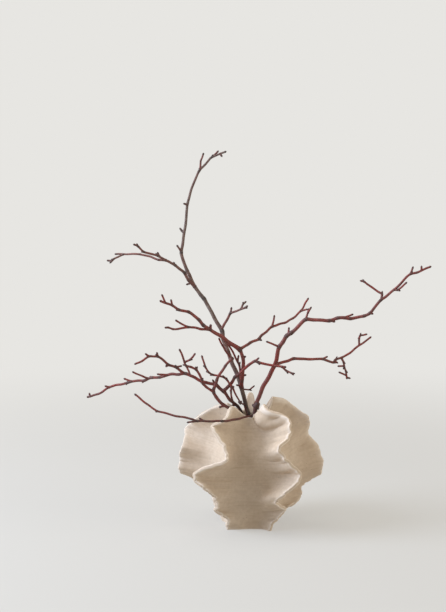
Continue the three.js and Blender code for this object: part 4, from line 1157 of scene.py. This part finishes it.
BACKDROP = (0.8, 0.79, 0.762, 1)  # what the camera sees behind the arrangement
AROUND = (0.185, 0.157, 0.118, 1)  # the warm light that comes from all around
DAYLIGHT = (0.75, 0.87, 1.09)
WARM_LIGHT = (1.0, 0.98, 0.92)
FLOOR_COLOUR = (0.485, 0.465, 0.43, 1)
FLOOR_RADIUS = 9
FLOOR_DROP = 0.0002  # below the foot
FLOOR_GLOW = 0.5  # the part of the floor that has the backdrop's even tone
FADE = (0.35, 1.3)  # metres from the axis between which the floor fades into the backdrop
LIT_MIDDLE = Vector((0, 0, 0.2))

# Each light: azimuth from +X towards +Y and elevation in degrees, distance and size in metres,
# watts, colour.
LIGHTS = {
    "daylight": (191, 28, 2.1, 1.3, 69, DAYLIGHT),
    "fill": (342, 6, 2.2, 1.6, 29, WARM_LIGHT),
    "overhead": (150, 80, 2.2, 2.4, 40, WARM_LIGHT),
}


def make_floor():
    work = bmesh.new()
    bmesh.ops.create_circle(work, cap_ends=True, segments=96, radius=FLOOR_RADIUS)
    mesh = bpy.data.meshes.new("floor")
    work.to_mesh(mesh)
    work.free()
    floor = bpy.data.objects.new("floor", mesh)
    bpy.context.collection.objects.link(floor)
    floor.location.z = -FLOOR_DROP
    material, tree, shader = new_material("pale_floor", 0.1)
    shader.inputs["Base Color"].default_value = FLOOR_COLOUR
    shader.inputs["Roughness"].default_value = 0.8
    distance = add_node(tree, "ShaderNodeVectorMath", {0: object_place(tree)}, operation="LENGTH")
    fade = ranged(tree, distance.outputs["Value"], *FADE, (FLOOR_GLOW, 1), "SMOOTHSTEP")
    glow = add_node(tree, "ShaderNodeEmission", {"Color": BACKDROP}).outputs[0]
    blend = add_node(tree, "ShaderNodeMixShader", {0: fade, 1: shader.outputs[0], 2: glow})
    tree.links.new(blend.outputs[0], tree.nodes["Material Output"].inputs["Surface"])
    mesh.materials.append(material)


def make_world():
    world = bpy.data.worlds.new("surroundings")
    bpy.context.scene.world = world
    world.use_nodes = True
    tree = world.node_tree
    seen = add_node(tree, "ShaderNodeLightPath").outputs["Is Camera Ray"]
    colour = mixed(tree, seen, AROUND, BACKDROP)
    tree.links.new(colour, tree.nodes["Background"].inputs["Color"])


def make_light(name, azimuth, elevation, distance, size, power, colour):
    """A soft square light, turned to the middle of the arrangement."""
    data = bpy.data.lights.new(name, "AREA")
    data.size = size
    data.energy = power
    data.color = colour
    light = bpy.data.objects.new(name, data)
    a = math.radians(azimuth)
    e = math.radians(elevation)
    away = Vector((math.cos(a) * math.cos(e), math.sin(a) * math.cos(e), math.sin(e)))
    light.location = LIT_MIDDLE + away * distance
    light.rotation_euler = away.to_track_quat("Z", "Y").to_euler()
    light.visible_camera = False
    bpy.context.collection.objects.link(light)


make_camera()
make_vase()
twig_bark = bark_material()
for branch_name, (branch_foot, branch_shoots) in BRANCHES.items():
    make_branch(branch_name, branch_foot, branch_shoots, twig_bark)
make_floor()
make_world()
for light_name, light_values in LIGHTS.items():
    make_light(light_name, *light_values)
bpy.context.scene.view_settings.view_transform = "Standard"
